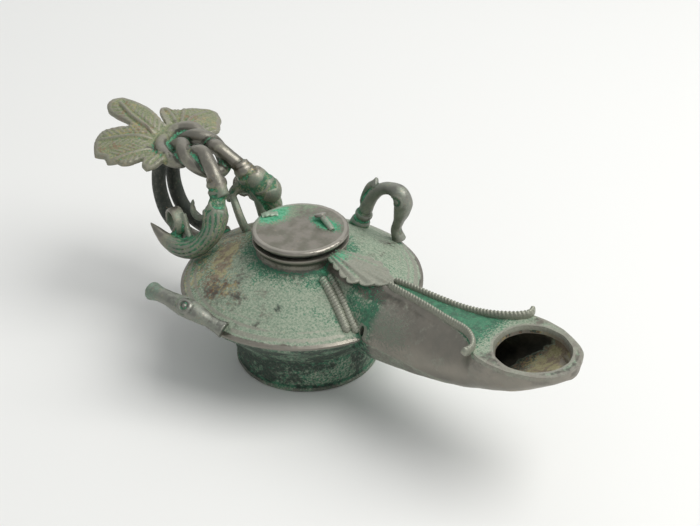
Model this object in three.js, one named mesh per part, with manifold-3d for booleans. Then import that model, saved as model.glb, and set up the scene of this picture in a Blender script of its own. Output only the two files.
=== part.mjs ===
// A Roman oil lamp of cast bronze, in millimetres. The long nozzle runs along +X, +Z is up, and the
// origin is on the bowl's axis, on the plane that the foot stands on.
//
// Five pieces: the hollow lamp body, its lift-off lid, the knotted handle that is soldered to the
// shoulder, and the two duck-headed side lugs, of which the near one (-Y) is broken and bent down.

import * as THREE from 'three';
import { mergeVertices } from 'three/addons/utils/BufferGeometryUtils.js';
import Module from 'manifold-3d';

// ---------------------------------------------------------------- driving dimensions
const BOWL_RADIUS = 42;
const EDGE_Z = 30.6;
const FOOT_RADIUS = 24.9;
const FOOT_OFFSET = 0.8; // the foot is cast a little off the bowl's axis, along both X and Y
const WALL = 2.4;
const BORE_RADIUS = 13.4;
const COLLAR_RADIUS = 16.6;
const COLLAR_TOP = 47.8;
const GAP = 0.3;
const LID_RADIUS = 16.7;
const LID_TOP = 51.1;
const PLATFORM_Z = 47.7;
const WICK_CENTRE = 98.2;
const WICK_RADIUS = 11.8;
const ROD_RADIUS = 2.8;
const LATHE_STEPS = 28;

// The nozzle's stations along X, as a shipwright would give them: half width of the flat top, height
// of the top, greatest half width of the flanks, and height of the keel below.
const NOZZLE_STATIONS = [
  { x: 10, top: 2.0, deck: 44.6, side: 9.0, keel: 15.0 },
  { x: 22, top: 2.0, deck: 45.8, side: 10.0, keel: 16.5 },
  { x: 31, top: 2.0, deck: 46.2, side: 11.8, keel: 17.6 },
  { x: 42, top: 2.2, deck: 46.4, side: 13.2, keel: 18.9 },
  { x: 58, top: 2.9, deck: 46.6, side: 12.8, keel: 21.2 },
  { x: 72, top: 4.7, deck: 47.0, side: 12.9, keel: 24.4 },
  { x: 80, top: 7.2, deck: 47.4, side: 13.6, keel: 27.2 },
  { x: 85.5, top: 13.8, deck: PLATFORM_Z, side: 14.4, keel: 29.6 },
  { x: 93, top: 15.0, deck: PLATFORM_Z, side: 14.9, keel: 33.0 },
  { x: 99, top: 14.4, deck: PLATFORM_Z, side: 14.2, keel: 35.8 },
  { x: 104, top: 12.7, deck: PLATFORM_Z, side: 12.4, keel: 38.6 },
  { x: 108.6, top: 10.4, deck: PLATFORM_Z, side: 10.0, keel: 41.6 },
  { x: 112, top: 7.6, deck: PLATFORM_Z, side: 7.2, keel: 43.6 },
  { x: 113.6, top: 2.0, deck: PLATFORM_Z, side: 1.9, keel: 44.4 },
];
const NOZZLE_TIP = NOZZLE_STATIONS.at(-1).x;

// ---------------------------------------------------------------- solids
const wasm = await Module();
wasm.setup();

/** A manifold solid from a closed geometry; one that is inside out is turned first. */
function solid(geometry) {
  const bare = geometry.clone();
  bare.deleteAttribute('normal');
  bare.deleteAttribute('uv');
  const merged = mergeVertices(bare, 1e-4);
  const vertProperties = new Float32Array(merged.attributes.position.array);
  const triVerts = new Uint32Array(merged.index.array);
  const a = new THREE.Vector3(), b = new THREE.Vector3(), c = new THREE.Vector3();
  let volume = 0;
  for (let i = 0; i < triVerts.length; i += 3) {
    a.fromArray(vertProperties, 3 * triVerts[i]);
    b.fromArray(vertProperties, 3 * triVerts[i + 1]);
    c.fromArray(vertProperties, 3 * triVerts[i + 2]);
    volume += a.dot(b.cross(c));
  }
  if (volume < 0) {
    for (let i = 0; i < triVerts.length; i += 3) {
      [triVerts[i], triVerts[i + 1]] = [triVerts[i + 1], triVerts[i]];
    }
  }
  return new wasm.Manifold(new wasm.Mesh({ numProp: 3, vertProperties, triVerts }));
}

/** The geometry of a finished solid. */
function geometryOf(manifold) {
  const mesh = manifold.getMesh();
  const geometry = new THREE.BufferGeometry();
  geometry.setAttribute('position', new THREE.BufferAttribute(mesh.vertProperties, 3));
  geometry.setIndex(new THREE.BufferAttribute(mesh.triVerts, 1));
  geometry.computeVertexNormals();
  return geometry;
}

const joined = (pieces) => pieces.reduce((whole, piece) => whole.add(piece));

/** Solid of revolution about Z of a profile of [radius, height] pairs. */
function turned(profile, steps = LATHE_STEPS) {
  const points = profile.map(([radius, height]) => new THREE.Vector2(radius, height));
  return solid(new THREE.LatheGeometry(points, steps).rotateX(Math.PI / 2));
}

/** Closed solid through rings of points that all have the same count; each end is a fan. */
function lofted(rings) {
  const count = rings[0].length;
  const vertices = rings.flat();
  const faces = [];
  for (let r = 0; r + 1 < rings.length; r += 1) {
    for (let k = 0; k < count; k += 1) {
      const here = r * count + k, next = r * count + (k + 1) % count;
      faces.push(here, next, here + count, next, next + count, here + count);
    }
  }
  for (const [start, ring] of [[0, rings[0]], [(rings.length - 1) * count, rings.at(-1)]]) {
    const middle = ring.reduce((sum, p) => sum.add(p), new THREE.Vector3()).divideScalar(count);
    vertices.push(middle);
    for (let k = 0; k < count; k += 1) {
      const edge = [start + k, start + (k + 1) % count];
      faces.push(vertices.length - 1, ...(start ? edge : edge.reverse()));
    }
  }
  const geometry = new THREE.BufferGeometry().setFromPoints(vertices);
  geometry.setIndex(faces);
  return solid(geometry);
}

const vector = ([x, y, z]) => new THREE.Vector3(x, y, z);
const mirrored = (points) => points.map(([x, y, z]) => [x, -y, z]);
const curveThrough = (points) => new THREE.CatmullRomCurve3(points.map(vector), false, 'centripetal');
const UP = new THREE.Vector3(0, 0, 1);

/**
 * A bar along a smooth curve through the points. section(t) gives its half width and half height;
 * the width lies level unless a bar has another up direction.
 */
function bar(points, section, { steps = 24, sides = 8, up = null } = {}) {
  const curve = curveThrough(points);
  const frames = curve.computeFrenetFrames(steps, false);
  const rings = [];
  for (let i = 0; i <= steps; i += 1) {
    const t = i / steps;
    const centre = curve.getPointAt(t);
    const along = frames.tangents[i];
    const across = up ? new THREE.Vector3().crossVectors(up, along).normalize() : frames.normals[i];
    const over = new THREE.Vector3().crossVectors(along, across);
    const [halfWidth, halfHeight] = section(t);
    rings.push(Array.from({ length: sides }, (_, k) => {
      const angle = (2 * Math.PI * (k + 0.5)) / sides;
      return centre.clone()
        .addScaledVector(across, halfWidth * Math.cos(angle))
        .addScaledVector(over, halfHeight * Math.sin(angle));
    }));
  }
  return lofted(rings);
}

/** Value on the straight lines through [t, value] knots, flat beyond the ends. */
function through(knots, t) {
  const after = knots.findIndex(([at]) => at >= t);
  if (after <= 0) return after === 0 ? knots[0][1] : knots.at(-1)[1];
  const [t0, v0] = knots[after - 1], [t1, v1] = knots[after];
  return v0 + (v1 - v0) * (t - t0) / (t1 - t0);
}
const round = (knots) => (t) => [through(knots, t), through(knots, t)];

// ---------------------------------------------------------------- lamp body
// Outlines from the axis outwards: the shoulder from the sharp edge up to the collar; the foot, whose
// underside has a flat central boss and one turned ring inside the foot ring; the belly; the collar.
const SHOULDER = [[BOWL_RADIUS, EDGE_Z], [36, 33.9], [29, 37.4], [22, 40.4], [15.8, 42.4]];
const FOOT = [
  [0, 0], [6, 0], [6.8, 1.8], [12, 1.8], [12.6, 0.8], [14.4, 0.8], [15, 1.8], [20.8, 1.8], [21.4, 0],
  [FOOT_RADIUS, 0], [FOOT_RADIUS + 0.4, 0.9], [FOOT_RADIUS, 1.6], [FOOT_RADIUS + 0.9, 7],
  [FOOT_RADIUS + 0.8, 13.5], [0, 13.5],
];
const BELLY = [[0, 8], [22, 8], [25.4, 11], [28.6, 16], [34, 22], [39, 26.6], [41.4, 29.4]];
const COLLAR = [[15.2, 43.4], [15.5, 46], [COLLAR_RADIUS, 46.8], [COLLAR_RADIUS, COLLAR_TOP],
[0, COLLAR_TOP]];

function bowlOutside() {
  const foot = turned(FOOT).translate([FOOT_OFFSET, FOOT_OFFSET, 0]);
  return foot.add(turned([...BELLY, ...SHOULDER, ...COLLAR]));
}

/** The oil's space: the bowl's inside, a wall's thickness in from the outline, and the filler bore. */
function bowlInside() {
  return turned([
    [0, 4.4], [19.6, 4.4], [21.6, 6], [22.8, 11.4], [26.2, 17.4], [32, 23.4], [38.6, 30.4], [28, 35.2],
    [21, 38.2],
    [BORE_RADIUS, 40.6], [BORE_RADIUS, 52], [0, 52],
  ]);
}

/**
 * One cross-section of the nozzle: flat on top, then a cubic Bezier curve down each flank to the keel.
 * The curve's handles are set so that it is widest at about half depth; inset moves it inwards.
 */
function nozzleRing(x, inset) {
  const at = (key) => through(NOZZLE_STATIONS.map((station) => [station.x, station[key]]), x);
  const deck = at('deck') - inset, keel = at('keel') + inset;
  const top = Math.max(at('top') - inset, 0.8), side = Math.max(at('side') - inset, 1);
  const depth = deck - keel, handle = (side - 0.216 * top) / 0.72;
  const flank = new THREE.CubicBezierCurve3(
    new THREE.Vector3(x, top, deck),
    new THREE.Vector3(x, handle, deck - 0.35 * depth),
    new THREE.Vector3(x, handle, keel),
    new THREE.Vector3(x, 0, keel),
  );
  const far = flank.getPoints(6);
  const near = far.slice(0, -1).reverse().map((p) => new THREE.Vector3(p.x, -p.y, p.z));
  return [...far, ...near];
}

/** The nozzle between two places along X, with a ring at each station. */
function nozzle(from, to, inset) {
  const places = NOZZLE_STATIONS.map(({ x }) => x).filter((x) => x > from && x < to);
  return lofted([from, ...places, to].map((x) => nozzleRing(x, inset)));
}

/** Wick hole: a round bore that widens downwards into the nozzle. */
function wickHole() {
  const bore = new THREE.CylinderGeometry(WICK_RADIUS, WICK_RADIUS - 1.2, 9, 28);
  return solid(bore.rotateX(Math.PI / 2).translate(WICK_CENTRE, 0, PLATFORM_Z - 1.5));
}

/** Height of the shoulder's surface at a distance from the axis. */
const shoulderZ = (radius) => through([...SHOULDER].reverse(), radius);

// The two ridges were bent by hand: the far one reaches a little further and flares a little less.
const RIDGE_Z = 46.6;
const HOOK_RISE = 2;
const FAR_RIDGE = { stretch: 1.05, spread: 0.95 };
const NEAR_RIDGE = { stretch: 1, spread: 0.98 };

/** The ridge along one side of the channel, which flares out at the end into a backward hook. */
function channelRidge(side, { stretch, spread }) {
  const path = [
    [42, 1.9], [50, 2.4], [60, 3.2], [70, 4.7], [77, 6.3], [82, 9.2], [84.6, 12.6], [84.9, 15.4], [83.8, 17],
  ];
  const height = (x) => RIDGE_Z + HOOK_RISE * THREE.MathUtils.smoothstep(x, 66, 84);
  const points = path.map(([x, y]) => [42 + (x - 42) * stretch, side * y * spread, height(x)]);
  return bar(points, () => [0.9, 1.7], { steps: 14, sides: 6, up: UP });
}

/** The two corded ribs on one side of the shoulder, and the flat band that carries them. */
function shoulderRibs(side) {
  const rib = (from, to, radius) => {
    const points = [0, 0.35, 0.7, 1].map((t) => {
      const x = from[0] + (to[0] - from[0]) * t, y = from[1] + (to[1] - from[1]) * t;
      return [x, side * y, shoulderZ(Math.hypot(x, y)) + 0.3];
    });
    return bar(points, () => [radius, radius], { steps: 5, sides: 6, up: UP });
  };
  return [rib([16.2, 7.3], [36.6, 15.7], 1.6), rib([17.4, 4.4], [38.6, 13.2], 1.5)];
}

/** The leaf in relief that grows from the collar over the nozzle's root, its lobes along both edges. */
function rootLeaf() {
  const from = 15, tip = 41.5, lobes = 5, steps = 20;
  const rings = Array.from({ length: steps + 1 }, (_, i) => {
    const t = i / steps, x = from + (tip - from) * t;
    const taper = through([[0, 2.6], [0.5, 7.6], [0.8, 4.4], [1, 0.5]], t);
    const half = Math.max(0.5, taper * (0.86 + 0.14 * Math.cos(2 * Math.PI * lobes * t)));
    const crown = 46.9 + 0.9 * (1 - t), edge = crown - 0.16 * half;
    return [[0, crown], [half, edge], [half * 0.9, edge - 1.8], [0, 43], [-half * 0.9, edge - 1.8],
    [-half, edge]]
      .map(([y, z]) => new THREE.Vector3(x, y, z));
  });
  return lofted(rings);
}

/** The small slanting casting hole beside the near ribs. */
function castingHole() {
  const slot = new THREE.CylinderGeometry(1.2, 1.2, 12, 8).scale(0.8, 1, 2).rotateX(0.7);
  return solid(slot.translate(39.4, -12.4, 33.4));
}

function lampBody() {
  const outside = joined([
    bowlOutside(), nozzle(10, NOZZLE_TIP, 0), rootLeaf(),
    channelRidge(1, FAR_RIDGE), channelRidge(-1, NEAR_RIDGE), ...shoulderRibs(1), ...shoulderRibs(-1),
  ]);
  const inside = joined([bowlInside(), nozzle(12, NOZZLE_TIP - 3, WALL), wickHole(), castingHole()]);
  return outside.subtract(inside);
}

// ---------------------------------------------------------------- lid
/** A flat disc with an undercut edge, a locating ring in the filler bore, a bent peg and a broken stub. */
function lid() {
  const under = COLLAR_TOP + GAP, ring = BORE_RADIUS - GAP;
  const disc = turned([
    [0, under], [ring - 2, under], [ring - 2, under - 3.4], [ring, under - 3.4], [ring, under],
    [LID_RADIUS - 1, under], [LID_RADIUS, 49.6], [LID_RADIUS, 50.6], [LID_RADIUS - 0.5, LID_TOP],
    [0, LID_TOP + 0.2],
  ]);
  const fallen = [[9.2, 6, LID_TOP - 0.3], [5.4, 7.2, 51.9], [2.8, 7.9, 52.6]];
  const peg = bar(fallen, () => [1.2, 1.2], { steps: 3, sides: 6 });
  const head = turned([[0, 0], [2, 0], [2.2, 0.5], [1.9, 1], [0, 1.1]], 12).translate([2, 8, 52.6]);
  const stub = bar([[-12.2, 0.9, LID_TOP],
  [-15, -3.2, 51.4]], () => [1.5, 0.9], { steps: 2, sides: 6, up: UP });
  return joined([disc, peg, head, stub]);
}

// ---------------------------------------------------------------- handle
// One half of each loop of the knot; the other half is its mirror image. The first loop comes up from
// the shoulder and closes at the rear. The second comes up from the rear and closes at the front.
const FRONT_LOOP_HALF = [
  [-30.6, -7.2, 54], [-34.4, -6.5, 59.6], [-39.3, -4.8, 63], [-44, -3.7, 65.2], [-48, -5, 63.6],
  [-51.6, -7.2, 61],
  [-56, -8.8, 61.6], [-60.6, -8.2, 63], [-64.8, -5.2, 62.8], [-67, 0, 62],
];
const REAR_LOOP_HALF = [
  [-40, 0, 58], [-41.3, -4.2, 59], [-45, -6.8, 61.4], [-49.5, -6.6, 64.4], [-54, -3.8, 65.4],
  [-59, -2.8, 62.6],
  [-63.6, -3.1, 58.2], [-67.6, -3.8, 52.6], [-69.2, -4, 46], [-68.6, -4, 39], [-65.8, -4, 33.2],
  [-60.5, -4, 29.6],
  [-53.5, -4, 28], [-47, -4, 28.6], [-40.6, -4, 30.6],
];
// The cast knot is a little twisted: its rear rolls up and back on the far side, its front on the near side.
const KNOT_ROLL = 0.17;
const KNOT_SKEW = 0.16;
const KNOT_MIDDLE = -50;

function rolled(points) {
  const share = (x, z) => through([[-12, 1], [8, -1]], x - KNOT_MIDDLE) * through([[50, 0], [58, 1]], z);
  const slant = (x, y) => KNOT_SKEW * y * through([[-60, 1], [-50, 0]], x);
  return points.map(([x, y, z]) => [x - slant(x, y), y, z + KNOT_ROLL * y * share(x, z)]);
}
const wholeLoop = (half) => [...half.slice(0, -1), half.at(-1), ...mirrored(half.slice(0, -1)).reverse()];

function knot() {
  const front = rolled(wholeLoop(FRONT_LOOP_HALF));
  const rear = rolled(wholeLoop([...REAR_LOOP_HALF].reverse()));
  const rod = () => [ROD_RADIUS, ROD_RADIUS];
  return [bar(front, rod, { steps: 26, sides: 6 }), bar(rear, rod, { steps: 32, sides: 6 })];
}

/** Ringed collar, stem and the fat horn-shaped leaf that curls back from it, ending in a point. */
function calyx(side) {
  const stem = [[-34.2, -6.6, 59.4], [-32.6, -7, 56], [-31.2, -9.6, 51.8], [-29.4, -12.2, 47.2]];
  const horn = [
    [-28.8, -14.2, 44.6], [-30.4, -16.6, 41], [-33, -19, 38.6], [-36.6, -21, 37.6], [-40.4, -22.2, 38],
    [-44.2, -23, 39.4], [-47, -23.5, 41.2], [-50.4, -24, 43.6],
  ];
  const rings = [
    [0, 2.9], [0.05, 3.5], [0.1, 2.8], [0.15, 3.5], [0.2, 2.9], [0.26, 3.7], [0.32, 3.2], [0.4, 3.8],
    [0.52, 3.6], [0.62, 3.7], [0.72, 3.5], [0.82, 3], [0.92, 1.8], [1, 0.3],
  ];
  const points = [...stem, ...horn].map(([x, y, z]) => [x, -side * y, z]);
  return bar(points, round(rings), { steps: 20, sides: 6 });
}

/** The ribbon curl that stands on the horn, with a boss in it. */
function volute(side) {
  const centre = [-44.4, -16.6, 43], turns = 0.86, radius = 5.6;
  const points = Array.from({ length: 11 }, (_, i) => {
    const angle = -0.9 + 2 * Math.PI * turns * (i / 10);
    const r = radius * (1 - 0.2 * (i / 10));
    const along = r * Math.cos(angle), above = r * Math.sin(angle);
    return [centre[0] + 0.8 * along, -side * (centre[1] - 0.45 * along), centre[2] + 1.1 * above];
  });
  const root = [[-42.6, -18, 36.6], [-42, -16.6, 40], [-41.6, -16, 43]].map(([x, y, z]) => [x, -side * y, z]);
  const boss = bar(root, round([[0, 2.6], [0.6, 2.5], [1, 1]]), { steps: 3, sides: 6 });
  return [bar(points, () => [1.3, 1.9], { steps: 12, sides: 6 }), boss];
}

/** Between and beside the calyxes: a broad arched ribbon, its strut, the far bud and a small curl. */
function tendrils() {
  const arch = [
    [-37.6, 1.5, 46], [-36.6, 3.8, 49.2], [-34, 5.4, 51.2], [-31, 6.6, 51], [-29.2, 7.6, 48],
    [-28.8, 8.6, 44],
    [-28, 9.6, 38.6],
  ];
  const strut = [[-35.6, 2.4, 48], [-32, 0.6, 46], [-29.4, 0.4, 42], [-28, 1.4, 37.6]];
  const bud = [[-32, 7.4, 57.2], [-28.8, 9.8, 53.4], [-26, 12, 49.8], [-24.8, 13.4, 46]];
  const curl = [[-41.6, -9.8, 48.2], [-40.6, -11.4, 47], [-37.8, -12.4, 46], [-34.4, -11.6, 47.4],
  [-32, -10.4, 49]];
  return [
    bar(arch, () => [2, 2.5], { steps: 9, sides: 6 }),
    bar(strut, () => [1.7, 1.7], { steps: 6, sides: 6 }),
    bar(bud, round([[0, 3.2], [0.4, 4.8], [0.8, 4.6], [1, 3]]), { steps: 5, sides: 7 }),
    bar(curl, round([[0, 0.5], [0.4, 1.6], [1, 1.4]]), { steps: 8, sides: 6 }),
  ];
}

/**
 * A vine leaf as a bent plate. Seen from above its edge is the outermost of its lobes, each a bell
 * shape in angle, with small teeth; the plate droops towards its own side and rises to the rear.
 */
function vineLeaf(side, lobes) {
  const centre = [-60.5, -1.5 * side], thick = 1.2, around = 30, inner = 5;
  const edge = (angle) => {
    const reach = lobes.map(([at, length, spread]) => {
      const off = Math.atan2(Math.sin(angle - at), Math.cos(angle - at)) / spread;
      return length * Math.exp(-0.5 * Math.abs(off) ** 3);
    });
    return Math.max(inner, ...reach) + 0.5 * Math.cos(15 * angle);
  };
  const height = (x, y) => {
    const near = Math.hypot(x - centre[0], y - centre[1]) / 9;
    return 66.2 - 0.3 * Math.max(0, side * -y - 2) + 0.05 * (-x - 62) - 7 * Math.exp(-near * near);
  };
  const plate = (share, lift) => Array.from({ length: around }, (_, k) => {
    const angle = (2 * Math.PI * k) / around, r = edge(angle) * share;
    const x = centre[0] + r * Math.cos(angle), y = centre[1] + side * r * Math.sin(angle);
    return new THREE.Vector3(x, y, height(x, y) + lift);
  });
  return lofted([plate(0.5, -thick), plate(0.97, -thick), plate(0.97, thick), plate(0.5, thick)]);
}

const degrees = THREE.MathUtils.degToRad;
// Each lobe's direction, length and spread; the first one is the broad heart of the leaf.
const lobesOf = (table) => table.map(([at, length, spread]) => [degrees(at), length, degrees(spread)]);
const NEAR_LEAF = lobesOf([[228, 15.5, 66], [178, 34, 12], [227, 28.5, 19], [284, 18, 14]]);
const FAR_LEAF = lobesOf([[240, 16, 66], [210, 24, 12], [240, 32, 16], [279, 17, 14]]);

/** The bowl's outline grown by the soldering gap, to trim what is soldered to it. */
function grownBowl() {
  const grow = GAP + 0.05;
  return turned([
    [0, -1], [27, -1], [27, 11], [28.6 + grow, 15.6], [34 + grow, 21.6], [39 + grow, 26.2], [41.4 + grow, 29],
    [BOWL_RADIUS + grow, EDGE_Z - grow], [BOWL_RADIUS + grow, EDGE_Z + grow],
    ...SHOULDER.slice(1).map(([radius, z]) => [radius + grow / 2, z + grow]),
    [COLLAR_RADIUS + grow + 0.2, 42.6], [COLLAR_RADIUS + grow + 0.2, 60], [0, 60],
  ]);
}

function handle() {
  const pieces = [
    ...knot(), calyx(1), calyx(-1), ...volute(1), ...volute(-1), ...tendrils(),
    vineLeaf(1, NEAR_LEAF), vineLeaf(-1, FAR_LEAF),
  ];
  return joined(pieces).subtract(grownBowl());
}

// ---------------------------------------------------------------- duck lugs
/** The whole lug on the far side: a ringed neck that bends over into a head whose bill meets the edge. */
function farDuck() {
  const neck = [
    [-4.4, 33.6, 33.4], [-3.2, 33.6, 36.9], [-1.3, 34.1, 41.7], [0.1, 34.5, 45.6], [2.1, 35, 49.3],
    [5.2, 35.4, 52.6], [9.4, 35.9, 54.2], [12.8, 36.3, 53.6], [14.3, 36.8, 50.6], [13.5, 37.2, 46.6],
    [11.6, 37.7, 41.5], [10, 38.1, 36.4],
    [11, 38.6, 32.2],
  ];
  const rings = [
    [0, 3.6], [0.1, 3.4], [0.13, 2.7], [0.17, 3.3], [0.21, 2.6], [0.26, 2.5], [0.4, 2.2], [0.5, 2.3],
    [0.62, 3.3],
    [0.74, 3.1], [0.88, 1.9], [0.94, 2.1], [1, 2.8],
  ];
  return joined([bar(neck, round(rings), { steps: 28 }), neckStub()]);
}

/** What is left of a flat fin that stood on the outside of the far duck's neck. */
function neckStub() {
  const fin = [[-2.8, 34.2, 43.6], [-1.6, 35, 48], [0.6, 35.6, 52], [3.4, 36, 55]];
  return bar(fin, () => [1.1, 1.7], { steps: 6, sides: 6, up: new THREE.Vector3(0, 1, 0) });
}

/** The near lug: head and neck, broken from its base and lying low along the edge of the bowl. */
function nearDuck() {
  const neck = [
    [3.6, -40.6, 32], [-1.6, -42, 33.8], [-7.6, -43.2, 35.2], [-14.6, -44.6, 36.4], [-21, -45.2, 36.6],
    [-26.2, -44.6, 35.8],
  ];
  const girth = [[0, 2.9], [0.12, 2.2], [0.3, 3.3], [0.5, 3.8], [0.66, 3], [0.85, 2.5], [0.93, 2.8],
  [1, 3.3]];
  return bar(neck, round(girth), { steps: 16 });
}

/** The bowl's edge and shoulder with the soldering gap, which the lugs' ends are fitted to. */
const fitted = (lug) => lug.subtract(grownBowl());

// ---------------------------------------------------------------- scene graph
function bronze(color, roughness) {
  return new THREE.MeshStandardMaterial({ color, roughness, metalness: 0.6 });
}

const group = new THREE.Group();
function add(name, manifold, color, roughness) {
  const mesh = new THREE.Mesh(geometryOf(manifold), bronze(color, roughness));
  mesh.name = name;
  group.add(mesh);
}

add('lamp_body', lampBody(), 0x7f8f78, 0.6);
add('lid', lid(), 0x7d7a6d, 0.45);
add('handle', handle(), 0x66705a, 0.6);
add('duck_lug_far', fitted(farDuck()), 0x6f7a68, 0.6);
add('duck_lug_near', fitted(nearDuck()), 0x6f7a68, 0.6);

export default group;
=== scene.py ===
# %% [markdown]
# # A Roman oil lamp in bronze
# The lamp is a hollow bowl on a low foot with a long nozzle for the wick. A knotted handle carries two vine
# leaves. A duck's head stands on the far side, and its broken twin lies along the near edge. A flat lid
# closes the filler hole. Every surface below is worked out with numpy as whole arrays of points, in
# millimetres, and is put into a mesh in metres.
# The origin is on the bowl's axis, on the plane that the foot stands on; +X points to the nozzle's tip.

# %% Load the frame
import itertools
import math

import bpy
import numpy as np
from mathutils import Matrix, Vector


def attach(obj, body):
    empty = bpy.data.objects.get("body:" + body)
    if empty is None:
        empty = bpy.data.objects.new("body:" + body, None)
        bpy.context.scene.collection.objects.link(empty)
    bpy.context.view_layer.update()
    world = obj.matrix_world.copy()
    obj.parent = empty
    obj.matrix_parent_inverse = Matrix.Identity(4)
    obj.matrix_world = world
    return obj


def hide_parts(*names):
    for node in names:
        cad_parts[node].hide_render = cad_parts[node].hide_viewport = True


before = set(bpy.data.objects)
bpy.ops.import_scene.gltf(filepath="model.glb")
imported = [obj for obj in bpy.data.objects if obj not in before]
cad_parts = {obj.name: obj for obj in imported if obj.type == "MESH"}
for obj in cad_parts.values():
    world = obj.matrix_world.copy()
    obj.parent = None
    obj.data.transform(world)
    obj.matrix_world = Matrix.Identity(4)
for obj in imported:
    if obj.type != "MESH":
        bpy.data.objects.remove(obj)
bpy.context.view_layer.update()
MM = 0.001
PI = math.pi
print("nodes:", sorted(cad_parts))

# %% [markdown]
# ## The camera and the light
# The camera looks down at the lamp from between the nozzle's tip and the near side. It stands half a metre
# away and is turned a touch about its own axis. The floor and the room are pale, one large soft light comes
# from high on the right, and a weak one stands behind the lamp.

# %% Camera, floor and lights
CAMERA_PLACE = Vector((309.6, -304.8, 316.4)) * MM
CAMERA_TARGET = Vector((6.04, 17.91, 30.6)) * MM
CAMERA_ROLL = math.radians(-1.045)
CAMERA_LENS = 77.14


def aimed(place, target, roll=0.0):
    """Matrix of an object at place whose -Z axis points at target, turned by roll about that axis."""
    turn = (target - place).to_track_quat("-Z", "Y").to_matrix().to_4x4()
    return Matrix.Translation(place) @ turn @ Matrix.Rotation(roll, 4, "Z")


camera = bpy.data.objects.new("camera", bpy.data.cameras.new("camera"))
camera.data.lens = CAMERA_LENS
camera.data.sensor_width = 36
camera.data.clip_start = 0.01
camera.matrix_world = aimed(CAMERA_PLACE, CAMERA_TARGET, CAMERA_ROLL)
bpy.context.collection.objects.link(camera)
bpy.context.scene.camera = camera


def soft_light(name, place, size, watts, colour=(1, 1, 1)):
    """A square area light of the given size in metres, aimed at the lamp."""
    light = bpy.data.lights.new(name, "AREA")
    light.size = size
    light.energy = watts
    light.color = colour
    holder = bpy.data.objects.new(name, light)
    holder.matrix_world = aimed(Vector(place), Vector((0.0, 0.0, 0.03)))
    bpy.context.collection.objects.link(holder)


soft_light("key_light", (0.5, 0.3, 0.85), 0.8, 9.5, (1.0, 0.99, 0.97))
soft_light("fill_light", (-0.6, 0.5, 0.6), 0.9, 1.5)
bpy.context.scene.view_settings.view_transform = "Standard"
world = bpy.data.worlds.new("pale_room")
world.use_nodes = True
world.node_tree.nodes["Background"].inputs["Color"].default_value = (0.9, 0.92, 0.93, 1)
world.node_tree.nodes["Background"].inputs["Strength"].default_value = 0.5
bpy.context.scene.world = world

# %% [markdown]
# ## Tools for the surfaces
# A shape here is a grid of points: rings of points along a path, or a profile turned about the Z axis.
# `smooth_path` bends a curve through a few knots, `swept` lays rings along it, and `shell` joins
# neighbouring rings with quads and closes both ends with a pole. Unevenness comes from one noise function.

# %% Numbers and curves
def unit(v):
    """Each vector divided by its own length."""
    return v / np.maximum(np.linalg.norm(v, axis=-1, keepdims=True), 1e-9)


def ease(x, low, high):
    """0 below low, 1 above high, and an S-shaped step between them."""
    t = np.clip((np.asarray(x, float) - low) / (high - low), 0, 1)
    return t * t * (3 - 2 * t)


def blend(a, b, share):
    """a where share is 0, b where it is 1, and in proportion between."""
    return a + (b - a) * share


def eased_table(table, x, width):
    """Straight lines through the (x, value) rows of the table, averaged over +-width to round the corners."""
    table = np.asarray(table, float)
    offsets = np.linspace(-width, width, 9)
    weights = 1 - (offsets / (width * 1.2)) ** 2
    at = np.asarray(x, float)[..., None] + offsets
    return (np.interp(at, table[:, 0], table[:, 1]) * weights).sum(-1) / weights.sum()


def along_table(table, at):
    """The value at each place, on straight lines through the (place, value) rows of the table."""
    return np.interp(at, *np.array(table, float).T)


def smooth_path(knots, count):
    """A curve through the knots, as `count` points at even distances.

    Each span is a cubic that leaves a knot with the slope of the line between its two neighbours.
    """
    knots = np.asarray(knots, float)
    gaps = np.linalg.norm(np.diff(knots, axis=0), axis=1)
    at = np.concatenate([[0], np.cumsum(gaps)])
    slope = np.gradient(knots, at, axis=0)
    dense = np.linspace(0, at[-1], 40 * len(knots))
    span = np.clip(np.searchsorted(at, dense, "right") - 1, 0, len(gaps) - 1)
    h = gaps[span][:, None]
    t = (dense - at[span])[:, None] / h
    curve = ((1 + 2 * t) * (1 - t) ** 2 * knots[span] + t * (1 - t) ** 2 * h * slope[span]
             + t * t * (3 - 2 * t) * knots[span + 1] + t * t * (t - 1) * h * slope[span + 1])
    walked = np.concatenate([[0], np.cumsum(np.linalg.norm(np.diff(curve, axis=0), axis=1))])
    even = np.linspace(0, walked[-1], count)
    return np.stack([np.interp(even, walked, curve[:, k]) for k in range(3)], axis=1)


def length_along(path):
    """Distance walked along the path up to each of its points."""
    return np.concatenate([[0], np.cumsum(np.linalg.norm(np.diff(path, axis=0), axis=1))])


def lattice_noise(points, cell, seed):
    """Smooth noise from 0 to 1: a fixed random number at each lattice corner, blended between corners."""
    q = np.asarray(points, float) / cell
    corner = np.floor(q).astype(np.int64)
    t = q - corner
    t = t * t * (3 - 2 * t)
    total = np.zeros(q.shape[:-1])
    for step in itertools.product((0, 1), repeat=3):
        c = corner + np.array(step)
        mixed = (c[..., 0] * 73856093) ^ (c[..., 1] * 19349663) ^ (c[..., 2] * 83492791) ^ (seed * 2654435761)
        mixed = ((mixed ^ (mixed >> 13)) * 1274126177) & 0x7FFFFFFF
        value = ((mixed ^ (mixed >> 15)) & 0xFFFF) / 65535
        total += value * np.prod(np.where(np.array(step) == 1, t, 1 - t), axis=-1)
    return total


def rough(points, cell, seed):
    """Two sizes of lattice noise together, centred on zero, from about -1 to 1."""
    return (1.4 * (lattice_noise(points, cell, seed) - 0.5)
            + 0.6 * (lattice_noise(points, cell / 2.3, seed + 1) - 0.5))


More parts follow.
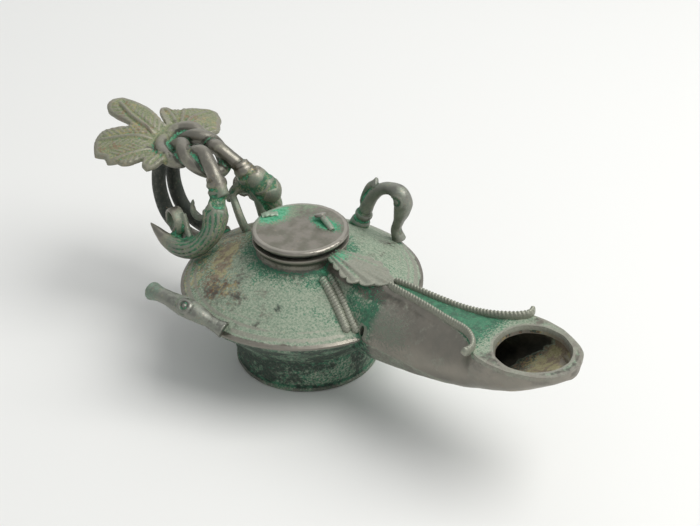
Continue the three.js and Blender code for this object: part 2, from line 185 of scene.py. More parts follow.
# %% Rings, shells and meshes
def directions(path, up=None):
    """(along, across, over) at each point of a path.

    With an up vector, across lies level. Without one, across is carried from point to point and only
    loses what has turned into the path's own direction, so that the rings never twist.
    """
    along = unit(np.gradient(path, axis=0))
    if up is not None:
        across = unit(np.cross(np.asarray(up, float), along))
        return along, across, np.cross(along, across)
    across = np.empty_like(along)
    start = np.cross(along[0], (0, 0, 1.0))
    across[0] = unit(start if np.linalg.norm(start) > 0.1 else np.cross(along[0], (0, 1.0, 0)))
    for i in range(1, len(along)):
        across[i] = unit(across[i - 1] - along[i] * np.dot(across[i - 1], along[i]))
    return along, across, np.cross(along, across)


def swept(path, wide, high, around=24, up=None):
    """Rings along a path: centre + wide·cos(angle)·across + high·sin(angle)·over, for angles once around.

    wide and high are numbers, or arrays over the path's points, or over points and angles.
    """
    _, across, over = directions(path, up)
    angle = 2 * PI * np.arange(around) / around
    wide, high = [np.asarray(v, float) for v in (wide, high)]
    wide, high = [v[:, None] if v.ndim == 1 else v for v in (wide, high)]
    return (path[:, None] + (wide * np.cos(angle))[..., None] * across[:, None]
            + (high * np.sin(angle))[..., None] * over[:, None])


def shell(rings):
    """(points, quads, triangles) of a closed skin over rings of equal count, with a pole at each end."""
    rows, count = rings.shape[:2]
    points = np.concatenate([rings.reshape(-1, 3), rings[:1].mean(axis=1), rings[-1:].mean(axis=1)])
    k = np.arange(count)
    nxt = (k + 1) % count
    r = np.arange(rows - 1)[:, None] * count
    quads = np.stack([r + k, r + nxt, r + nxt + count, r + k + count], axis=-1).reshape(-1, 4)
    last = (rows - 1) * count
    first_cap = np.stack([nxt, k, np.full(count, rows * count)], axis=-1)
    last_cap = np.stack([last + k, last + nxt, np.full(count, rows * count + 1)], axis=-1)
    caps = np.concatenate([first_cap, last_cap])
    a, b, c = points[np.concatenate([quads[:, :3], quads[:, [0, 2, 3]], caps])].transpose(1, 0, 2)
    if np.einsum("ij,ij->i", a, np.cross(b, c)).sum() < 0:
        quads, caps = quads[:, ::-1], caps[:, ::-1]
    return points, quads, caps


def together(shells):
    """Several shells as one set of points and faces."""
    starts = np.cumsum([0] + [len(s[0]) for s in shells])
    return (np.concatenate([s[0] for s in shells]),
            np.concatenate([s[1] + at for s, at in zip(shells, starts)]),
            np.concatenate([s[2] + at for s, at in zip(shells, starts)]))


def mesh_piece(name, skin):
    """A Blender object at the origin from (points in mm, quads, triangles)."""
    points, quads, triangles = skin
    mesh = bpy.data.meshes.new(name)
    mesh.vertices.add(len(points))
    mesh.vertices.foreach_set("co", (points * MM).astype(np.float32).ravel())
    mesh.loops.add(quads.size + triangles.size)
    mesh.loops.foreach_set("vertex_index",
                           np.concatenate([quads.ravel(), triangles.ravel()]).astype(np.int32))
    mesh.polygons.add(len(quads) + len(triangles))
    starts = np.concatenate([4 * np.arange(len(quads)), quads.size + 3 * np.arange(len(triangles))])
    mesh.polygons.foreach_set("loop_start", starts.astype(np.int32))
    mesh.update(calc_edges=True)
    mesh.validate()
    piece = bpy.data.objects.new(name, mesh)
    bpy.context.collection.objects.link(piece)
    return piece


def settle(piece):
    """Applies the piece's modifiers to its mesh."""
    evaluated = piece.evaluated_get(bpy.context.evaluated_depsgraph_get())
    mesh = bpy.data.meshes.new_from_object(evaluated)
    old = piece.data
    piece.modifiers.clear()
    piece.data = mesh
    bpy.data.meshes.remove(old)
    return piece


def cut_or_join(piece, other, operation):
    """Boolean of two closed pieces; the second one is used up."""
    modifier = piece.modifiers.new(operation, "BOOLEAN")
    modifier.operation = operation
    modifier.solver = "MANIFOLD"
    modifier.object = other
    settle(piece)
    bpy.data.objects.remove(other)
    return piece


def points_of(piece):
    """The piece's points in millimetres, as an array."""
    flat = np.empty(3 * len(piece.data.vertices), np.float32)
    piece.data.vertices.foreach_get("co", flat)
    return flat.reshape(-1, 3).astype(float) / MM


def normals_of(piece):
    """The direction in which the skin faces at each point."""
    flat = np.empty(3 * len(piece.data.vertices), np.float32)
    piece.data.vertex_normals.foreach_get("vector", flat)
    return flat.reshape(-1, 3).astype(float)


def move_points(piece, points):
    """Writes the points, in millimetres, back into the piece."""
    piece.data.vertices.foreach_set("co", (points * MM).astype(np.float32).ravel())
    piece.data.update()


def melted(name, shells, voxel, passes):
    """The shells as one skin: remade in voxels of that size in mm, then smoothed to soften the joints."""
    piece = mesh_piece(name, together(shells))
    remesh = piece.modifiers.new("remesh", "REMESH")
    remesh.mode = "VOXEL"
    remesh.voxel_size = voxel * MM
    smooth = piece.modifiers.new("smooth", "SMOOTH")
    smooth.factor = 0.5
    smooth.iterations = passes
    settle(piece)
    print(name, len(piece.data.polygons), "faces after the joint skin was made")
    return piece


def smooth_shaded(piece, degrees=50):
    """Shades the piece smooth, but keeps edges sharper than that angle crisp."""
    piece.data.polygons.foreach_set("use_smooth", np.ones(len(piece.data.polygons), bool))
    piece.data.set_sharp_from_angle(angle=math.radians(degrees))
    return piece

# %% [markdown]
# ## The bowl and its nozzle
# The real lamp was cast in one piece over a core, so it is a shell with a wall of two to three millimetres.
# The bowl is a profile turned about the Z axis. The nozzle is a row of cross-sections along X: flat on top,
# with flanks that swell and then run in to a narrow keel. Both are made as full solids with a smaller one
# inside, and Blender's Boolean joins the outsides and takes the insides away.

# %% The bowl
FOOT_OFFSET = 0.8
BORE_RADIUS = 13.4
DENT_DEPTH = 0.16
COLLAR_TOP = 47.8
WICK_CENTRE = 98.2
WICK_RADIUS = 11.8
SHOULDER = [(42, 30.6), (36, 33.9), (29, 37.4), (22, 40.4), (15.8, 42.4)]
UNDERSIDE = [(0.3, 0), (6, 0), (6.8, 1.8), (12, 1.8), (12.6, 0.8), (14.4, 0.8), (15, 1.8), (20.8, 1.8),
             (21.4, 0.2), (22, 0)]
FOOT = [(24.6, 0), (25.3, 0.5), (25.3, 1.2), (24.7, 1.6), (24.7, 2.2), (25.2, 4), (25.8, 8), (25.9, 11.5)]
BELLY = [(26.3, 13), (28.6, 16), (34, 22), (39, 26.6), (41.3, 29.2), (41.95, 30.1)]
COLLAR = [(15.2, 43.4), (15.1, 45), (15.6, 46.3), (16.5, 46.7), (16.6, 47.3), (16.5, 47.8), (14, 47.9),
          (0.3, 47.9)]
INSIDE = [(0.3, 4.4), (19.6, 4.4), (21.6, 6), (22.8, 11.4), (26.2, 17.4), (32, 23.4), (38.4, 30.4),
          (28, 35.2),
          (21, 38.2), (BORE_RADIUS, 40.6), (BORE_RADIUS, 52), (0.3, 52)]


def profile_points(corners, step):
    """Points along the corners' straight lines, each line cut into equal parts no longer than step."""
    parts = []
    for a, b in zip(corners[:-1], corners[1:]):
        count = max(int(math.ceil(math.dist(a, b) / step)), 1)
        parts.append(np.linspace(a, b, count, endpoint=False))
    return np.concatenate(parts + [np.array([corners[-1]], float)])


def turned(profile, around):
    """Rings of a profile of (radius, height) rows turned about the Z axis."""
    angle = 2 * PI * np.arange(around) / around
    radius, height = profile[:, :1], profile[:, 1:2]
    return np.stack([radius * np.cos(angle), radius * np.sin(angle),
                     np.broadcast_to(height, (len(profile), around))], -1)


def bowl_rings():
    """The bowl's outside; the foot is cast a little off the axis, which fades out up the belly."""
    corners = np.concatenate([
        profile_points(UNDERSIDE, 1.6)[:-1], profile_points(FOOT, 0.7), profile_points(BELLY, 0.7),
        profile_points(SHOULDER, 0.62), profile_points(COLLAR[:6], 0.4), profile_points(COLLAR[5:], 2.0)[1:],
    ])
    rings = turned(corners, 330)
    off_axis = FOOT_OFFSET * (1 - ease(rings[..., 2:], 8, 15))
    rings[..., :2] += off_axis
    return rings


def shoulder_height(radius):
    """Height of the shoulder's surface at a distance from the axis."""
    rows = np.array(SHOULDER[::-1])
    return np.interp(radius, rows[:, 0], rows[:, 1])


# %% The nozzle
# Each row: place along X, half width of the flat top, its height, greatest half width, height of the keel.
NOZZLE = np.array([
    (8, 2.0, 44.4, 8.6, 15.0), (22, 2.0, 45.8, 10.0, 16.5), (31, 2.0, 46.2, 11.8, 17.6),
    (42, 2.2, 46.4, 13.2, 18.9),
    (58, 2.9, 46.6, 12.8, 21.2), (72, 4.7, 47.0, 12.9, 24.4), (80, 7.0, 47.4, 13.6, 27.2),
    (83, 10.0, 47.6, 14.0, 28.4),
    (85.5, 13.6, 47.7, 14.4, 29.6), (88, 14.6, 47.7, 14.6, 30.6), (93, 15.0, 47.7, 14.9, 33.0),
    (99, 14.4, 47.7, 14.2, 35.8), (104, 12.7, 47.7, 12.4, 38.6), (108.6, 10.4, 47.7, 10.0, 41.6),
    (112, 7.6, 47.7, 7.2, 43.6), (113.6, 2.0, 47.7, 1.9, 44.4),
])


def nozzle_rings(start, end, inset, step, across, down, softness=1.4):
    """Cross-sections of the nozzle.

    A flank is a cubic Bezier curve from the edge of the flat top to the keel. Its two handles lie straight
    out from 35% of the depth and from the keel, as far as the greatest width needs.
    """
    x = np.linspace(start, end, int((end - start) / step) + 2)
    top, deck, side, keel = [eased_table(NOZZLE[:, [0, k]], x, softness)[:, None] for k in (1, 2, 3, 4)]
    deck, keel, side, top = deck - inset, keel + inset, np.maximum(side - inset, 1), np.maximum(top - inset,
                                                                                                0.8)
    handle = (side - 0.216 * top) / 0.72
    t = np.linspace(0, 1, down)
    flank_y = (1 - t) ** 3 * top + 3 * t * (1 - t) ** 2 * handle + 3 * t * t * (1 - t) * handle
    flank_z = ((1 - t) ** 3 * deck + 3 * t * (1 - t) ** 2 * (deck - 0.35 * (deck - keel))
               + 3 * t * t * (1 - t) * keel + t ** 3 * keel)
    flat = np.linspace(-1, 1, across)[1:-1]
    y = np.concatenate([flank_y, -flank_y[:, -2::-1], top * flat], axis=1)
    z = np.concatenate([flank_z, flank_z[:, -2::-1], np.repeat(deck, len(flat), axis=1)], axis=1)
    return np.stack([np.repeat(x[:, None], y.shape[1], axis=1), y, z], axis=-1)


def worn(rings):
    """Small dents and swellings of an old casting: moves the points up to about 0.2 mm."""
    return rings + DENT_DEPTH * np.stack([rough(rings, 7.0, s) for s in (11, 12, 13)], axis=-1)


body = mesh_piece("bowl_and_nozzle", shell(worn(bowl_rings())))
nozzle = nozzle_rings(8, 113.6, 0, 0.75, 26, 44)
cut_or_join(body, mesh_piece("nozzle_outside", shell(worn(nozzle))), "UNION")
hollow = mesh_piece("inside_of_bowl", shell(turned(profile_points(INSIDE, 3.0), 120)))
channel = nozzle_rings(12, 110.6, 2.4, 2.0, 8, 14)
cut_or_join(hollow, mesh_piece("inside_of_nozzle", shell(channel)), "UNION")
wick_path = np.linspace((WICK_CENTRE, 0, 41.7), (WICK_CENTRE, 0, 50.7), 19)
wick_width = np.interp(wick_path[:, 2], [41.7, 47.0, 47.7, 50.7], [10.6, 11.7, 12.1, 12.6])
wick_angle = 2 * PI * np.arange(120) / 120
wick_ragged = wick_width[:, None] * (1 + 0.012 * np.sin(3 * wick_angle + 1) + 0.006 * np.sin(11 * wick_angle))
wick_rings = swept(wick_path, wick_ragged, wick_ragged, 120, up=(0, 1, 0))
cut_or_join(hollow, mesh_piece("wick_hole", shell(wick_rings)), "UNION")
hole_path = smooth_path([(39.0, -17.0, 36.6), (39.4, -14.5, 34.6), (39.6, -9, 31.0)], 9)
hole_rings = swept(hole_path, 1.0, 1.9, 16, up=(0, 0, 1))
cut_or_join(hollow, mesh_piece("casting_hole", shell(hole_rings)), "UNION")
cut_or_join(body, hollow, "DIFFERENCE")
print("bowl and nozzle:", len(body.data.polygons), "faces")

# %% [markdown]
# ## Corded ridges and ribs
# Two ridges run along the top of the nozzle and curl back into hooks before the wick platform, and two
# ribs on each side cross the shoulder. They look like cord: slanting beads, a little more than a
# millimetre apart. Each is a swept bar whose radius swells with the distance walked plus a share of the
# angle round it, which is what slants the beads.

# %% Ridges on the nozzle
BEAD = 1.2


def corded(knots, wide, high, cord, around=20, up=(0, 0, 1), taper=1.5, slant=0.35, top_only=False):
    """A bar with slanted beads.

    The radii are multiplied by 1 + cord·cos(2π·distance/BEAD + slant·2π·cos(angle)), and both ends taper off
    over `taper` mm. With top_only the beads fade from the crest down the sides.
    """
    length = length_along(smooth_path(knots, 200))[-1]
    path = smooth_path(knots, int(length / (BEAD / 7)))
    walked = length_along(path)[:, None]
    angle = 2 * PI * np.arange(around)[None] / around
    beads = np.cos(2 * PI * walked / BEAD + slant * 2 * PI * np.cos(angle))
    if top_only:
        beads = beads * ease(np.sin(angle), 0.1, 0.8)
    ends = np.sqrt(ease(np.minimum(walked, walked[-1] - walked), -0.2, taper))
    swell = (1 + cord * beads) * ends
    return swept(path, wide * swell, high * swell, around, up)


RIDGE_PATH = [(41, 1.6), (46, 2.1), (52, 2.5), (60, 3.2), (66, 4.0), (72, 5.1), (77, 6.4), (80.6, 8.3),
              (83.6, 11),
              (85, 13.6), (84.8, 15.6), (83.6, 17.0)]


def ridge_knots(side, stretch, spread):
    """The ridge's centre line; it climbs two millimetres as it turns out into the hook."""
    plan = np.array(RIDGE_PATH, float)
    x = 42 + (plan[:, 0] - 42) * stretch
    z = 46.6 + 2.0 * ease(plan[:, 0], 66, 84)
    return np.stack([x, side * plan[:, 1] * spread, z], axis=-1)


ridge_far = mesh_piece("corded_ridge_far",
                       shell(corded(ridge_knots(1, 1.05, 0.95), 0.9, 1.7, 0.1, top_only=True)))
ridge_near = mesh_piece("corded_ridge_near",
                        shell(corded(ridge_knots(-1, 1.0, 0.98), 0.9, 1.7, 0.1, top_only=True)))
print("ridges:", len(ridge_far.data.polygons), len(ridge_near.data.polygons), "faces")

# %% Ribs on the shoulder
OUTER_RIB = [(16.6, 7.4), (21.2, 9.0), (26.2, 11.1), (31.5, 13.4), (35.9, 15.4)]
INNER_RIB = [(17.6, 4.6), (23.5, 7.0), (29.0, 9.4), (33.5, 11.5), (38.0, 13.1)]


def on_shoulder(plan, side, lift):
    """Knots of a line drawn in plan, laid on the shoulder and lifted off it."""
    plan = np.array(plan, float)
    return np.stack([plan[:, 0], side * plan[:, 1], shoulder_height(np.hypot(*plan.T)) + lift], axis=-1)


ribs = []
for side in (1, -1):
    for plan, radius, lift in ((OUTER_RIB, 1.5, 0.2), (INNER_RIB, 1.45, 0.5)):
        ribs.append(shell(corded(on_shoulder(plan, side, lift), radius, radius, 0.09, slant=0.28)))
shoulder_ribs = mesh_piece("shoulder_ribs", together(ribs))
print("ribs:", len(shoulder_ribs.data.polygons), "faces")

# %% [markdown]
# ## The leaf over the nozzle's root
# A long acanthus leaf grows out of the collar and covers the joint of bowl and nozzle. It is a flat body
# with a lobed edge that overhangs the flanks. Its veins fan out from the stem.

# %% Root leaf
LEAF_START = 15.4
LEAF_TIP = 41.8
LEAF_LOBES = 6.0


def leaf_half_width(x):
    """Half width of the leaf: swells to the middle, then narrows to the tip in rounded lobes."""
    share = (x - LEAF_START) / (LEAF_TIP - LEAF_START)
    body_width = eased_table([(0, 3.2), (0.25, 6.0), (0.5, 8.2), (0.75, 5.6), (0.93, 2.4), (1, 0.5)], share,
                             0.06)
    lobe = np.abs(np.sin(PI * LEAF_LOBES * share ** 0.9))
    return np.maximum(body_width * (0.8 + 0.26 * np.sqrt(lobe)), 0.3)


def root_leaf_rings(around=120, count=150):
    """Cross-sections along X: the upper half is crowned and veined, the lower half is flat and tucked in."""
    x = np.linspace(LEAF_START, LEAF_TIP, count)[:, None]
    angle = 2 * PI * np.arange(around)[None] / around
    half = leaf_half_width(x)
    y = half * np.sign(np.cos(angle)) * np.abs(np.cos(angle)) ** 0.7
    crown = 48.1 - 1.0 * ease(x, 16, 40) - 0.17 * np.abs(y)
    fan = np.arctan2(y, x - LEAF_START + 7)
    veins = np.cos(fan * 46) * 0.24 * ease(half - np.abs(y), 0.0, 1.2)
    groove = -0.5 * np.exp(-(y / 0.45) ** 2)
    upper = np.sin(angle) > 0
    thick = 1.0 + 1.8 * (1 - np.abs(y) / (half + 0.01))
    z = np.where(upper, crown + veins + groove, crown - thick - 0.4)
    z = blend(crown - 0.5, z, np.abs(np.sin(angle)) ** 0.35)
    y = y * np.where(upper, 1, 0.92)
    return np.stack([np.broadcast_to(x, y.shape), y, z], axis=-1)


root_leaf = mesh_piece("root_leaf", shell(root_leaf_rings()))
print("root leaf:", len(root_leaf.data.polygons), "faces")

# %% [markdown]
# ## The lid
# The lid is a flat disc with an undercut rim and a ring below that keeps it in the filler hole. The peg
# of its lost knob has fallen over and lies on it, and a broken stub of the hinge is left near the handle.

# %% Lid
LID_RADIUS = 16.7
LID_UNDER = COLLAR_TOP + 0.3
RING_OUT = BORE_RADIUS - 0.3
LID_PROFILE = [(0.3, LID_UNDER), (RING_OUT - 2, LID_UNDER), (RING_OUT - 2, LID_UNDER - 3.4),
               (RING_OUT, LID_UNDER - 3.4),
               (RING_OUT, LID_UNDER), (14.7, LID_UNDER), (15.3, 48.5), (15.9, 49.3), (16.6, 49.9),
               (16.65, 50.5),
               (16.3, 50.95), (15.6, 51.1), (8, 51.2), (0.3, 51.2)]


def lid_rings():
    """The lid turned about Z; its rim is chipped in and out by a few tenths of a millimetre."""
    rings = turned(profile_points(LID_PROFILE, 0.5), 240)
    radius = np.hypot(rings[..., 0], rings[..., 1])
    ragged = -0.35 * np.abs(rough(rings, 1.8, 41)) * ease(radius, 15.5, 16.6)
    rings[..., :2] *= (1 + ragged / np.maximum(radius, 1))[..., None]
    rings[..., 2] += 0.05 * rough(rings, 3.0, 42) * (rings[..., 2] > 50.9)
    return rings


peg_path = smooth_path([(9.4, 5.9, 50.9), (7.4, 6.6, 51.7), (5.0, 7.3, 52.3), (3.2, 7.8, 52.8)], 24)
peg = shell(swept(peg_path, 1.15, 0.95, 18, up=(0, 0, 1)))
head_path = np.linspace((2.1, 8.0, 52.5), (1.5, 8.2, 53.7), 12)
head_girth = along_table([(0, 1.0), (0.15, 2.05), (0.7, 2.15), (0.9, 1.7), (1, 0.6)], np.linspace(0, 1, 12))
head = shell(swept(head_path, head_girth, head_girth, 28, up=(1, 0, 0)))
stub_path = smooth_path([(-12.0, 1.2, 51.1), (-13.2, -0.6, 51.4), (-14.4, -2.4, 51.5), (-15.0, -3.4, 51.2)],
                        20)
stub = shell(swept(stub_path, 1.4 + 0.2 * np.sin(np.arange(20)), 0.7, 16, up=(0, 0, 1)))
lid = mesh_piece("lid_disc", together([shell(lid_rings()), peg, head, stub]))
print("lid:", len(lid.data.polygons), "faces")

# %% [markdown]
# ## The knotted handle
# Two loops of round rod are tied in a reef knot. One comes up from the shoulder in front and closes at the
# rear, the other comes up from the rear of the bowl and closes in front. Only half of each loop is given;
# the other half is its mirror image, and a small roll about X makes the knot as uneven as the real one.

# %% Knot
ROD = 2.7
FRONT_LOOP = [(-30.6, -7.2, 54), (-34.4, -6.5, 59.6), (-39.3, -4.8, 63), (-44, -3.7, 65.2), (-48, -5, 63.6),
              (-51.6, -7.2, 61), (-56, -8.8, 61.6), (-60.6, -8.2, 63), (-64.8, -5.2, 62.8), (-67, 0, 62)]
REAR_LOOP = [(-40, 0, 58), (-41.3, -4.2, 59), (-45, -6.8, 61.4), (-49.5, -6.6, 64.4), (-54, -3.8, 65.4),
             (-59, -2.8, 62.6), (-63.6, -3.1, 58.2), (-67.6, -3.8, 52.6), (-69.2, -4, 46), (-68.6, -4, 39),
             (-65.8, -4, 33.2), (-60.5, -4, 29.6), (-53.5, -4, 28), (-47, -4, 28.6), (-42.6, -4, 29.8)]
KNOT_ROLL = 0.17
KNOT_SKEW = 0.16
HANDLE_VOXEL = 0.45


def knotted(half):
    """The whole loop from one half: mirrored in Y, skewed at the rear and rolled about X above z = 50."""
    half = np.array(half, float)
    whole = np.concatenate([half, half[-2::-1] * (1, -1, 1)])
    x, y, z = whole.T
    roll = KNOT_ROLL * y * np.interp(x, [-62, -42], [1, -1]) * np.interp(z, [50, 58], [0, 1])
    return np.stack([x - KNOT_SKEW * y * np.interp(x, [-60, -50], [1, 0]), y, z + roll], axis=-1)


def rod(knots, radius, around=26, spacing=0.55):
    """A round rod along the knots; its thickness changes a little, as in hand-finished wax."""
    path = smooth_path(knots, int(length_along(smooth_path(knots, 200))[-1] / spacing))
    thickness = radius + 0.14 * rough(path, 9.0, 21)
    return shell(swept(path, thickness, thickness, around))


knot_parts = [rod(knotted(FRONT_LOOP), ROD), rod(knotted(REAR_LOOP[::-1]), ROD)]

# %% [markdown]
# ### Collars, calyxes and tendrils
# Each front leg stands in a ringed collar on a fat calyx. Its lower leaf bends back into a long horn with a
# sharp tip. A ribbon curls up on the horn into a volute, and between the two legs a broad ribbon arches
# over to the shoulder. The sides are alike except for the worn and broken ends.

# %% Calyxes, horns, volutes
def sided(points, side):
    """The points as given for side 1 (-Y); mirrored for side -1."""
    return np.array(points, float) * (1, side, 1)


CALYX = [(-35.4, -6.3, 60.6), (-33.6, -6.6, 57.9), (-32.4, -7.4, 54.8), (-31.0, -9.9, 51.2),
         (-29.4, -12.4, 47.2),
         (-29.0, -14.4, 44.2), (-30.6, -16.8, 40.8), (-33, -19, 38.4), (-36.6, -21, 37.3),
         (-40.4, -22.2, 37.8),
         (-44.2, -23, 39.2), (-47, -23.5, 41.2), (-50.6, -24, 43.9)]
CALYX_GIRTH = [(0, 2.9), (0.03, 3.1), (0.045, 3.7), (0.075, 3.7), (0.085, 3.0), (0.1, 3.0), (0.11, 3.6),
               (0.13, 3.6),
               (0.145, 3.1), (0.19, 3.7), (0.26, 4.1), (0.36, 3.6), (0.5, 3.5), (0.62, 3.7), (0.74, 3.3),
               (0.84, 2.5),
               (0.93, 1.4), (1, 0.25)]


def calyx(side):
    """The collar's rings, the calyx and the horn in one sweep, with two rows of sepals on the calyx.

    A sepal's edge is a step in the radius, of 0.75 mm in the first row and 0.55 mm in the second. Where
    along the stem it lies swings with the angle, three times round.
    """
    path = smooth_path(sided(CALYX, side), 170)
    share = np.linspace(0, 1, 170)[:, None]
    angle = 2 * PI * np.arange(40)[None] / 40
    girth = along_table(CALYX_GIRTH, share)
    swing = 0.055 * np.abs(np.sin(1.5 * angle + 0.4)) ** 0.7
    sepals = 0.75 * (ease(share - swing, 0.19, 0.2) - 1) * ease(share, 0.15,
                                                                0.17) * (1 - ease(share, 0.3, 0.32))
    second = 0.55 * ease(share + swing, 0.3, 0.31) * (1 - ease(share, 0.3, 0.5))
    grain = 0.16 * np.cos(14 * angle + 20 * share) * ease(share, 0.16, 0.2) * (1 - ease(share, 0.7, 0.9))
    radius = girth + sepals + second + grain
    return shell(swept(path, radius * 1.02, radius * 0.96, 40))


def softly_squared(angle):
    """How far out a section between a circle and a square reaches in each direction."""
    return 1 / (np.abs(np.cos(angle)) ** 4 + np.abs(np.sin(angle)) ** 4) ** 0.25


def ribbon(knots, half_width, half_thickness, up, side=1, spacing=0.5, around=28):
    """A flat band: an oval section, wide along `across` and thin along `over`, with softly squared edges."""
    knots = sided(knots, side)
    count = int(length_along(smooth_path(knots, 200))[-1] / spacing)
    path = smooth_path(knots, count)
    share = np.linspace(0, 1, count)
    angle = 2 * PI * np.arange(around) / around
    square = softly_squared(angle)
    wide = along_table(half_width, share)[:, None] * square
    high = along_table(half_thickness, share)[:, None] * square
    return shell(swept(path, wide, high, around, up=np.array(up, float) * (1, side, 1)))


def volute_knots(turns, radius, centre, shrink, start):
    """A spiral in the upright plane that the volute stands in, turned 30 degrees out of the X axis."""
    share = np.linspace(0, 1, 22)
    angle = start + 2 * PI * turns * share
    r = radius * (1 - shrink * share)
    return np.stack([centre[0] + 0.88 * r * np.cos(angle), centre[1] - 0.3 * r * np.cos(angle),
                     centre[2] + r * np.sin(angle)], axis=-1)


def band_rings(knots, outward, half_width, half_thickness, around=28):
    """A band whose thin direction points away from the curl's centre line, given per knot as `outward`."""
    path = smooth_path(knots, 110)
    along = unit(np.gradient(path, axis=0))
    over = unit(outward(path))
    over = unit(over - along * (over * along).sum(-1, keepdims=True))
    across = np.cross(over, along)
    share = np.linspace(0, 1, len(path))
    angle = 2 * PI * np.arange(around) / around
    square = softly_squared(angle)
    wide = along_table(half_width, share)[:, None] * np.cos(angle) * square
    high = along_table(half_thickness, share)[:, None] * np.sin(angle) * square
    return shell(path[:, None] + wide[..., None] * across[:, None] + high[..., None] * over[:, None])


VOLUTE_CENTRE = np.array((-44.6, -17.2, 43.4))
VOLUTE_RADIUS = 5.0
VOLUTE_TURNS = 0.86
VOLUTE_SHRINK = 0.12
VOLUTE_START = -0.75


def volute(side):
    """The curl on the horn: a band rolled into most of a circle, with a boss and a strap beside it."""
    centre = sided([VOLUTE_CENTRE], side)[0]
    spiral = volute_knots(VOLUTE_TURNS, VOLUTE_RADIUS, VOLUTE_CENTRE, VOLUTE_SHRINK, VOLUTE_START)
    knots = sided(spiral, side)
    band = band_rings(knots, lambda p: p - centre, [(0, 1.5), (0.2, 2.3), (0.8, 2.2), (1, 1.2)],
                      [(0, 0.6), (0.5, 0.75), (1, 0.5)])
    boss = ribbon([(-42.9, -19.4, 37.6), (-42.6, -18.6, 40.2), (-42.0, -17.6, 42.6), (-41.8, -17.0, 44.0)],
                  [(0, 2.2), (0.5, 1.9), (0.85, 2.3), (1, 1.6)], [(0, 1.8), (0.6, 1.4), (1, 1.2)], (0, 1, 0),
                  side)
    strap = ribbon([(-41.2, -16.5, 47.6), (-39.2, -17.2, 44.6), (-36.8, -18.4, 41.6), (-34.6, -19.2, 39.4)],
                   [(0, 1.2), (0.5, 1.0), (1, 1.6)], [(0, 0.9), (1, 1.2)], (0, 1, 0), side)
    return [band, boss, strap]


CURL = [(-42.2, -10.6, 50.4), (-42.5, -10.8, 48.4), (-41.4, -11.6, 46.6), (-38.8, -12.4, 45.6),
        (-35.8, -12.2, 46.2),
        (-33.4, -11.2, 47.8), (-31.6, -10.4, 49.6)]
ARCH = [(-38.6, 2.2, 45.6), (-37.4, 4.2, 49.0), (-34.8, 5.4, 51.4), (-31.6, 6.4, 51.4), (-29.4, 7.4, 48.6),
        (-28.8, 8.4, 44.4), (-28.4, 9.4, 39.4)]
STRUT = [(-36.2, 2.6, 48.4), (-33.2, 1.0, 47.0), (-30.4, 0.2, 43.4), (-28.8, 0.6, 39.6), (-28.2, 1.4, 37.2)]
BUD = [(-32.4, 7.2, 57.8), (-30.4, 8.7, 55.4), (-28.2, 10.4, 52.6), (-26.2, 12, 49.8), (-25.2, 13.2, 46.8)]


def bud():
    """The far calyx seen from the front: a full bulb with three broad sepals that overlap like tiles."""
    count = 70
    path = smooth_path(BUD, count)
    share = np.linspace(0, 1, count)[:, None]
    angle = 2 * PI * np.arange(56)[None] / 56
    girth = np.interp(share, [0, 0.12, 0.4, 0.75, 1], [3.0, 3.9, 4.6, 4.4, 2.6])
    scallop = 0.09 * np.abs(np.cos(2 * angle + 0.5))
    steps = sum(0.55 * ease(share + scallop * sign - at, 0, 0.025) * (1 - ease(share, at + 0.1, at + 0.32))
                for at, sign in ((0.12, 1), (0.42, -1), (0.7, 1)))
    radius = girth - 0.3 + steps
    return shell(swept(path, radius, radius * 0.96, 56))


def curl(side):
    """A small pointed tendril that curls up beside the calyx."""
    return ribbon(CURL, [(0, 0.35), (0.12, 1.0), (0.5, 1.5), (1, 1.6)],
                  [(0, 0.3), (0.15, 0.7), (0.5, 1.0), (1, 1.2)],
                  (0, 0.5, 1), side)


leg_parts = []
for side in (1, -1):
    leg_parts += [calyx(side), curl(side), *volute(side)]
leg_parts.append(bud())
leg_parts.append(ribbon(ARCH, [(0, 1.2), (0.15, 2.1), (1, 2.3)], [(0, 0.8), (0.3, 1.1), (1, 1.3)],
                        (0.5, 1, 0)))
leg_parts.append(ribbon(STRUT, [(0, 1.4), (1, 1.5)], [(0, 1.2), (1, 1.5)], (0.3, 1, 0)))

# %% [markdown]
# ### The vine leaves
# Two vine leaves lie on the knot and point back and out. Seen from above, a leaf's edge is a distance from
# its centre for each direction, read from a short table of its lobes. The plate droops towards its own
# side, dives under the loop at its centre, and has a raised vein along every lobe.

# %% Vine leaves
NEAR_EDGE = [(150, 7), (160, 12), (164, 21), (169, 28), (173, 33), (179, 34.2), (185, 33.6), (190, 30),
             (192, 24),
             (195, 18.5), (199, 18.5), (203, 23), (208, 27.4), (214, 28.6), (220, 29.0), (227, 28.8),
             (234, 28.6),
             (238, 25.4), (242, 25.2), (247, 25.2), (250, 22.0), (256, 21.4), (261, 19.4), (266, 14.6),
             (270, 14.8),
             (276, 17.2), (285, 18.4), (294, 16), (300, 11), (330, 6), (400, 5), (450, 5), (500, 6)]
FAR_EDGE = [(170, 9), (163, 17.8), (156, 23.0), (150, 24.3), (146, 22.0), (138, 24.5), (130, 29.2),
            (124, 31.2),
            (120, 33.2), (114, 32.6), (109, 29.0), (103, 25.8), (97, 21.4), (93, 20.2), (86, 18.0),
            (80, 16.2), (75, 12),
            (60, 8), (30, 6), (-60, 5), (-120, 5), (-180, 7)]
LEAF_CENTRE = {1: (-60.8, -1.5), -1: (-60.8, 1.5)}
LEAF_DROOP = {1: 0.30, -1: 0.33}
LEAF_TOP = 66.0
LEAF_DIP = 6.5
LEAF_DIP_REACH = 8.5
LEAF_THICKNESS = 2.2


